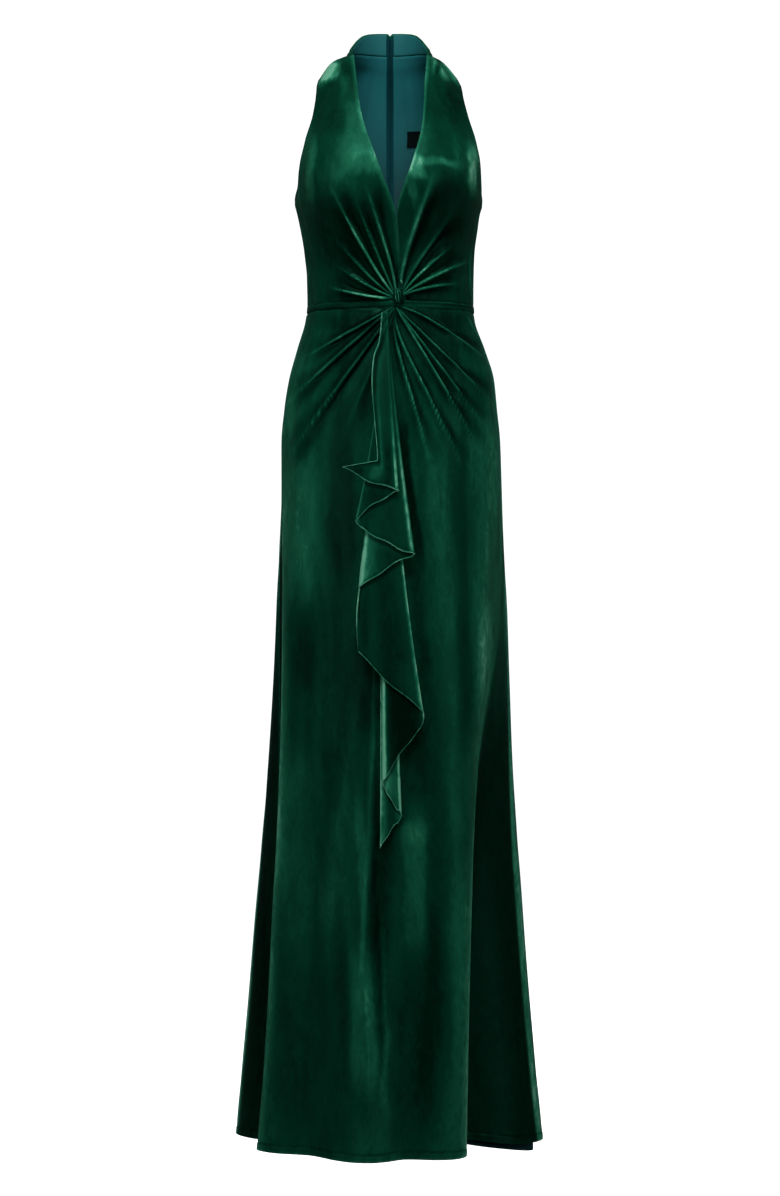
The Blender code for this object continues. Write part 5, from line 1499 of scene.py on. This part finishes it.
def skirt_back(side):
    word = SIDE_WORDS[side]
    q = down_steps(BACK_ROWS, BACK_ROW_POWER, SKIRT_TOP - HEM_Z)
    z = (SKIRT_TOP - SEAM) + (HEM_Z - SKIRT_TOP + SEAM) * q**BACK_ROW_POWER
    gap = math.degrees(seam_angle(SEAM, WAIST_Z))
    angle = side * np.radians(np.linspace(180.0 - gap, 90.0 + gap, BACK_COLUMNS))
    angle, z = np.meshgrid(angle, z)
    z = z + hem_lift(angle, z)
    points, normal, pile_and_painted_light = form(angle, z)
    hem_far = edge_distance(points, 0, True)
    along = edge_distance(points, 1, False)
    press = seam_dip(edge_distance(points, 1, True)) + CENTRE_BACK_DIP * seam_dip(along)
    press = press + seam_dip(edge_distance(points, 0, False))
    pile_and_painted_light, lift = pile_and_painted_light + hem_sheen_and_stitches(hem_far), hem(hem_far, along)
    velvet_piece("velvet_skirt_back_" + word, "skirt_back_" + word, points, normal, pile_and_painted_light, lift, press, 0.3)


def skirt_lining():
    angle = 2 * math.pi * np.arange(LINING_COLUMNS) / LINING_COLUMNS
    middle, reach, drop = LINING_DIP
    hem_z = LINING_HEM_Z - drop * bell(wrapped(np.degrees(angle) - middle), reach)
    top = SKIRT_TOP - LINING_TOP_DROP
    share = down_steps(LINING_ROWS - len(HEM_STEPS), LINING_ROW_POWER, SKIRT_TOP - HEM_Z)[:, None]
    z = top + (hem_z - top) * share**LINING_ROW_POWER
    angle = np.broadcast_to(angle, z.shape)
    window = np.radians(np.linspace(-LINING_WINDOW_DEG, LINING_WINDOW_DEG, 5))
    least = [radius(angle + turn, z) for turn in window]
    out = -np.log(np.mean([np.exp(-r / LINING_BLEND) for r in least], axis=0)) * LINING_BLEND
    out = out - LINING_INSET - 0.0016
    out = out + 0.001 * np.sin(angle * 17 + 3 * z) * smooth_step((-0.6 - z) / 0.6)
    points = place(angle, z, out)
    normal = outward_normals(points, ring=True)
    hem_far = edge_distance(points, 0, True)
    lift = 0.0004 * (1 - smooth_step((hem_far - 0.0115) / 0.0012))
    piece = finish_shell("lining_skirt", points, normal, SATIN, lift, ring=True)
    keep(piece, "lining", "skirt_lining")


# ---- Cascade -------------------------------------------------------------------------------------

CASCADE_ROWS = 120
CASCADE_HEM_SHARES = (0.03, 0.018, 0.011, 0.007, 0.0045, 0.0026, 0.0012, 0.0)
CORNER_SHARES = (0.962, 0.965)  # extra levels at the sharp corner of the side edge
LAYER_POINTS = (44, 13, 13, 13, 15, 11, 9, 9)
TURN_POINTS = 9
TONE_PLACES = (0.0, 0.25, 0.5, 0.75, 1.0)
FOLD_LINE = 0.0013
CASCADE_BOW, CASCADE_SAG, CASCADE_WAVER = 0.1, 0.0035, 0.0016  # of a layer: outwards in pitches, down, uneven
FIRST_LAYER_POWER = 1.7  # its points lie closer together towards the upper edge
# painted shade of a slit at the cascade's head, and a painted highlight along a crest below it
SLIT_SHADE, SLIT_REACH, SLIT_AT, SLIT_TOP_Z, SLIT_LOW_Z = 1.1, 0.002, 0.0046, -0.412, -0.505
CREST_HIGHLIGHT, CREST_REACH, CREST_AT, CREST_TOP_Z, CREST_LOW_Z = 0.22, 0.0032, 0.01, -0.4, -0.62
PATCH_LAYER, PATCH_RIM = 0.35, 0.0011  # a patch keeps to so much of its layer's depth and so far from the rim
RIM_RISE, RIM_LINE, RIM_GROOVE, RIM_GROOVE_AT = 0.00045, 0.0009, 0.00012, 0.0034  # its rolled edge
# painted highlight along the rolled rim and painted shade just inside it
RIM_HIGHLIGHT, RIM_SHADE, RIM_SHADE_REACH, RIM_SHADE_AT = 0.95, 0.22, 0.0014, 0.0032
RIM_WIDTH = 0.0016  # folds and slit start inside it


def skirt_swell(angle, z):
    """How far the skirt's gathers stand out under the cascade."""
    x = radius(angle, z) * np.sin(angle)
    total = np.zeros_like(x)
    for side, rows in SKIRT_SWELLS.items():
        far, turn, across = round_focus(x, z, SKIRT_FOCUS, side, -1)
        near_side = smooth_step(across / 0.008 + 0.5)
        for middle, reach, height, width in rows:
            share = np.clip(far / reach, 0, 1)
            swell = np.clip(far / SWELL_GROW, 0, 1) ** 0.8 * (1 - rest_of(share, 0.35))
            total = total + near_side * height * swell * np.exp(-np.abs((turn - middle) / width) ** 1.5)
    return total


def turn_ends(share):
    """Where one level of the cascade comes to and leaves each turn: x, z, x_out, z_out and side."""
    top_x, top_z = CASCADE_TOP
    ends = []
    for number, (x, z, x_out, z_out, side, power) in enumerate(CASCADE_TURNS):
        start = top_x + side * CASCADE_HALF
        x_in, x_leave = (start + (value - start) * share**power for value in (x, x_out))
        if number == 0:
            x_in = x_leave = float(SIDE_X(share))
        if number == CASCADE_LONG_TURN:
            late_from, hurry = CASCADE_LATE
            late = start + (x_out - start) * share**3 * (1 + hurry * (1 - share))
            blend = float(smooth_step((share - late_from + 0.06) / 0.12))
            x_leave = max((1 - blend) * x_in + blend * late, x_out)
        ends.append((x_in, top_z + (z - top_z) * share, x_leave, top_z + (z_out - top_z) * share, side))
    return ends


def cascade_row(share):
    """One level of the cascade: x, z, depth in layers, fold highlight and painted light, from its upper edge
    to its tip.
    """
    pitch = CASCADE_PITCH_TOP + (CASCADE_PITCH_EDGE - CASCADE_PITCH_TOP) * share
    round_x = 0.5 * pitch * (1 + 0.9 * share)
    ends = turn_ends(share)
    path = []
    last = len(ends) - 1
    for layer in range(last):
        _, _, x1, z1, side1 = ends[layer]
        x2, z2, x3, z3, side2 = ends[layer + 1]
        turns_on = layer < last - 1
        first = x1 - (side1 * round_x if layer else 0.0)
        end = x2 - (side2 * round_x if turns_on else 0.0)
        parts = np.linspace(0, 1, LAYER_POINTS[layer]) ** (1 if layer else FIRST_LAYER_POWER)
        for part in parts:
            x = first + (end - first) * part
            bow = CASCADE_BOW * math.sin(math.pi * part) * share
            sag = CASCADE_SAG * math.sin(math.pi * part) * share**2 * (1 if layer % 2 else -1)
            sag += CASCADE_WAVER * share**4 * math.sin(9.5 * part + 1.7 * layer)
            fold = math.exp(-(((end - x) / FOLD_LINE) ** 2)) if turns_on else 0.0
            tone = np.interp(part, TONE_PLACES, CASCADE_LAYER_LIGHT[layer])
            path.append((x, z1 + (z2 - z1) * part + sag, layer + bow, fold, tone))
        for part in np.linspace(0, 1, TURN_POINTS + 2)[1:-1] if turns_on else ():
            x = (x2 + (x3 - x2) * part) - side2 * round_x + side2 * round_x * math.sin(math.pi * part)
            depth = layer + 0.5 - 0.5 * math.cos(math.pi * part)
            tone = CASCADE_LAYER_LIGHT[layer][-1] * (1 - part) + CASCADE_LAYER_LIGHT[layer + 1][0] * part
            path.append((x, z2 + (z3 - z2) * part, depth, 1.0 - part, tone))
    return np.array(path), pitch


SIDE_X = smooth_through([row[0] for row in SIDE_EDGE], [row[1] for row in SIDE_EDGE])


def cascade_light_and_shade(x, z, tone, turns, fold, rim, first):
    """Painted light over the cascade: its layers' painted light and shade and their patches, painted
    highlights along the folds and rim, painted shade of the slit at its head.
    """
    inside = rim > RIM_WIDTH
    pile_and_painted_light = tone + (RIM_HIGHLIGHT - tone) * bell(rim, RIM_LINE) - RIM_SHADE * bell(rim, RIM_SHADE_REACH, RIM_SHADE_AT)
    for level, middle_x, middle_z, half_x, half_z, lean, painted_light in CASCADE_LIGHT_PATCHES:
        down = z - middle_z
        spot = np.exp(-np.abs((x - middle_x + lean * down) / half_x) ** 3 - np.abs(down / half_z) ** 3)
        pile_and_painted_light = pile_and_painted_light + painted_light * spot * (np.abs(turns - level) < PATCH_LAYER) * (rim > PATCH_RIM)
    # painted highlight along the folds' turns
    pile_and_painted_light = pile_and_painted_light + (0.25 + 0.65 * smooth_step((-0.5 - z) / 0.12)) * fold * inside
    slit = smooth_step((SLIT_TOP_Z - z) / 0.01) * smooth_step((z - SLIT_LOW_Z) / 0.02)
    pile_and_painted_light = pile_and_painted_light - SLIT_SHADE * slit * bell(first, SLIT_REACH, SLIT_AT) * inside
    crest = smooth_step((CREST_TOP_Z - z) / 0.02) * smooth_step((z - CREST_LOW_Z) / 0.03)
    pile_and_painted_light = pile_and_painted_light + CREST_HIGHLIGHT * crest * bell(first, CREST_REACH, CREST_AT)
    return pile_and_painted_light + 0.13 * np.sin(85 * x + 11 * z + 1.0) * smooth_step((-0.42 - z) / 0.1)


def front_cascade():
    layers = len(CASCADE_TURNS) - 2
    last_share = 1 - CASCADE_HEM_SHARES[0]
    shares = np.linspace(0, last_share, CASCADE_ROWS - len(CASCADE_HEM_SHARES)) ** 0.9 * last_share
    shares = np.concatenate([shares, 1 - np.array(CASCADE_HEM_SHARES), CORNER_SHARES])
    rows = []
    for share in np.unique(shares):
        path, pitch = cascade_row(float(share))
        x, z, layer, fold, tone = path.T
        rows.append((x, z, (layers - layer) * pitch, fold, tone, np.full(len(x), pitch)))
    x, z, depth, fold, tone, pitches = (np.array([row[k] for row in rows]) for k in range(6))
    angle = angle_at(x, z)
    out = radius(angle, z) + skirt_swell(angle, z) + 0.0016
    middle = np.stack([x, AXIS_Y - out * np.cos(angle) - CASCADE_CLEAR - depth, z], axis=-1)
    normal = grid_normals(middle)
    first, last = edge_distance(middle, 1, False), edge_distance(middle, 1, True)
    rim = np.minimum(np.minimum(edge_distance(middle, 0, True), first), last)
    half = RUFFLE / 2 + RIM_RISE * bell(rim, RIM_LINE) - RIM_GROOVE * bell(rim, RIM_LINE, RIM_GROOVE_AT)
    half = half[..., None]
    pile_and_painted_light = cascade_light_and_shade(x, z, tone, layers - depth / pitches, fold, rim, first)
    piece = shell("velvet_cascade", middle - normal * half, middle + normal * half, pile_and_painted_light=pile_and_painted_light, rim_sheen=0.9)
    keep(piece, "shaded_ruffle_velvet", "front_cascade")


# ---- Zip and label -------------------------------------------------------------------------------

TAPE_INSET, TAPE_THICK = 0.0022, 0.0008
TAPE_RIDGES = ((0.0004, 0.10, 0.22), (0.0003, 0.08, 0.75))  # rise, and width and place as shares of the tape


def zip_tape(side):
    word = SIDE_WORDS[side]
    heights = np.linspace(0.0095, ZIP_END_Z + 0.006, 260)
    share = np.linspace(0, 1, 8)
    inner, outer = seam_angle(SEAM, heights), seam_angle(ZIP_HALF - 0.0003, heights)
    angle = side * (math.pi - (inner[:, None] + (outer - inner)[:, None] * share[None]))
    z = np.broadcast_to(heights[:, None], angle.shape)
    points, normal, _ = form(angle, z)
    ridge_at = sum(rise * bell(share, wide, middle) for rise, wide, middle in TAPE_RIDGES)[None, :, None]
    inner_face = points - normal * (TAPE_INSET + ridge_at)
    piece = shell("zip_tape_cloth_" + word, inner_face, inner_face + normal * (TAPE_THICK + ridge_at))
    keep(piece, "tape", "zip_tape_" + word)


COIL_PITCH = 0.0013
COIL_SIZE = (0.0011, 0.0007, 0.0004896)
COIL_LEAN, COIL_DEPTH = 0.00045, 0.0031


def zip_coil():
    """The closed teeth, alternately from the left and the right, along the inside of the centre back."""
    heights = np.arange(0.008, ZIP_END_Z + 0.008, -COIL_PITCH / 2)
    wide, deep, tall = COIL_SIZE
    corners = np.array([
        (-1, -1, -1), (1, -1, -1), (1, 1, -1), (-1, 1, -1), (-1, -1, 1), (1, -1, 1), (1, 1, 1), (-1, 1, 1),
    ]) * 0.5 * np.array([wide, deep, tall])
    quads = np.array([(0, 3, 2, 1), (4, 5, 6, 7), (0, 1, 5, 4), (1, 2, 6, 5), (2, 3, 7, 6), (3, 0, 4, 7)])
    points, faces = [], []
    centre_y = AXIS_Y + radius(math.pi, heights) - COIL_DEPTH
    for number, (z, y) in enumerate(zip(heights, centre_y)):
        lean = 1 if number % 2 else -1
        faces.append(quads + 8 * number)
        points.append(corners + np.array([lean * COIL_LEAN, y, z]))
    piece = mesh_piece("zip_teeth", np.concatenate(points), np.concatenate(faces))
    keep(piece, "coil")


def neck_label():
    x, z = LABEL_CENTRE
    u, v = np.meshgrid(*(np.linspace(-1, 1, count) for count in LABEL_POINTS))
    across, heights = x + u * LABEL_SIZE[0] / 2, z + v * LABEL_SIZE[1] / 2
    angle = math.pi - np.arcsin(across / radius(math.pi, heights))
    points, normal, _ = form(angle, heights)
    curl = LABEL_CURL * u**4 * v**2 + LABEL_BOW * np.sin(2.4 * u + 0.5) * (1 - v**2)
    inner = points - normal * (LABEL_DEPTH + curl[..., None])
    ends = LABEL_TURN * (np.abs(u) > 0.93)
    piece = shell("label_cloth", inner, inner + normal * (LABEL_THICK + ends[..., None]))
    keep(piece, "label", "neck_label")


# ---- Build ---------------------------------------------------------------------------------------

for side in (1, -1):
    bodice_front(side)
    bodice_back(side)
    back_lining(side)
    neckband(side, False)
    neckband(side, True)
    waistband(side, False)
    waistband(side, True)
    skirt_back(side)
    zip_tape(side)
skirt_front()
skirt_lining()
front_twist()
front_cascade()
zip_coil()
neck_label()
for node in ("zip_slider", "zip_pull"):
    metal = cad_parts[node]
    metal.data.materials.clear()
    metal.data.materials.append(MATERIALS["enamel"])


# ---- Floor, light and camera ---------------------------------------------------------------------

FLOOR_Z, WALL_FAR, WALL_BEND, WALL_TOP = -1.64, 9.0, 1.6, 7.0
BEND_STEPS, WALL_SIDES = 12, 96
PALE, PALE_GLOW = (0.9, 0.9, 0.9), 1.16


def pale_material():
    return new_material(
        "backdrop_pale", PALE, 0.9, 0.2, Emission_Color=(*PALE, 1.0), Emission_Strength=PALE_GLOW
    )[0]


def backdrop():
    """A pale floor that sweeps up all round into a pale wall, neither mirrored nor lighting the cloth."""
    profile = [(0.02, FLOOR_Z), (1.5, FLOOR_Z), (WALL_FAR - WALL_BEND, FLOOR_Z)]
    for step in range(1, BEND_STEPS + 1):
        turn = math.pi / 2 * step / BEND_STEPS
        across, up = WALL_BEND * math.sin(turn), WALL_BEND * (1 - math.cos(turn))
        profile.append((WALL_FAR - WALL_BEND + across, FLOOR_Z + up))
    profile.append((WALL_FAR, WALL_TOP))
    around = np.linspace(0, 2 * math.pi, WALL_SIDES + 1)[:-1]
    rings = [np.stack([r * np.cos(around), r * np.sin(around), z + 0 * around], axis=-1) for r, z in profile]
    index = grid_index(len(profile), WALL_SIDES, True)
    centre = tuple(index[0, :-1][::-1].tolist())
    piece = new_piece("backdrop", np.concatenate(rings), grid_faces(index).tolist() + [centre])
    piece.data.materials.append(pale_material())
    piece.visible_glossy = False
    piece.visible_diffuse = False


def soft_box(name, where, towards, width, height, power, gloss):
    """A soft light that the camera doesn't see, and that gloss shows or not."""
    light = bpy.data.lights.new(name, "AREA")
    light.shape = "RECTANGLE"
    light.size, light.size_y = width, height
    light.energy = power
    lamp = bpy.data.objects.new(name, light)
    bpy.context.scene.collection.objects.link(lamp)
    lamp.location = where
    lamp.visible_camera = False
    lamp.visible_glossy = gloss
    x, y, z = np.array(towards, float) - np.array(where, float)
    lamp.rotation_euler = (math.atan2(math.hypot(x, y), -z), 0.0, math.atan2(y, x) - math.pi / 2)


backdrop()
# columns: name, place, target, width, height, watts, whether gloss shows it
LIGHTS = (
    ("top_front", (-0.15, -1.75, 1.75), (0.0, -0.1, -0.35), 1.5, 0.6, 70.0, True),
    ("left_strip", (-2.1, -2.1, -0.3), (0.0, -0.05, -0.6), 0.5, 1.9, 19.0, True),
    ("right_strip", (2.2, -1.9, -0.3), (0.0, -0.05, -0.6), 0.5, 1.9, 17.0, True),
    ("low_front", (0.2, -3.6, 0.2), (0.0, -0.05, -0.8), 1.0, 1.0, 8.0, False),
    ("top_back", (0.15, 2.4, 1.6), (0.0, 0.0, -0.45), 2.4, 1.0, 34.0, False),
    ("back_left", (-2.4, 1.9, -0.4), (0.0, 0.0, -0.7), 0.7, 2.4, 20.0, False),
    ("back_right", (2.4, 1.9, -0.4), (0.0, 0.0, -0.7), 0.7, 2.4, 20.0, False),
)
for row in LIGHTS:
    soft_box(*row)

world = bpy.data.worlds.new("studio")
world.use_nodes = True
world.node_tree.nodes["Background"].inputs["Color"].default_value = (1.0, 1.0, 1.0, 1.0)
world.node_tree.nodes["Background"].inputs["Strength"].default_value = 0.03
bpy.context.scene.world = world
bpy.context.scene.view_settings.view_transform = "Standard"

PIXEL = 0.00138  # metres, at the camera's distance from the upright axis
PHOTO_HEIGHT = 1196  # pixels
CAMERA_FAR, CAMERA_Z = 4.5, -0.771
SENSOR = 24.0  # mm
camera_data = bpy.data.cameras.new("camera")
camera_data.sensor_width = SENSOR
camera_data.lens = SENSOR * CAMERA_FAR / (PHOTO_HEIGHT * PIXEL)
camera = bpy.data.objects.new("camera", camera_data)
bpy.context.scene.collection.objects.link(camera)
camera.location = (0.0, AXIS_Y - CAMERA_FAR, CAMERA_Z)
camera.rotation_euler = (math.pi / 2, 0.0, 0.0)
bpy.context.scene.camera = camera
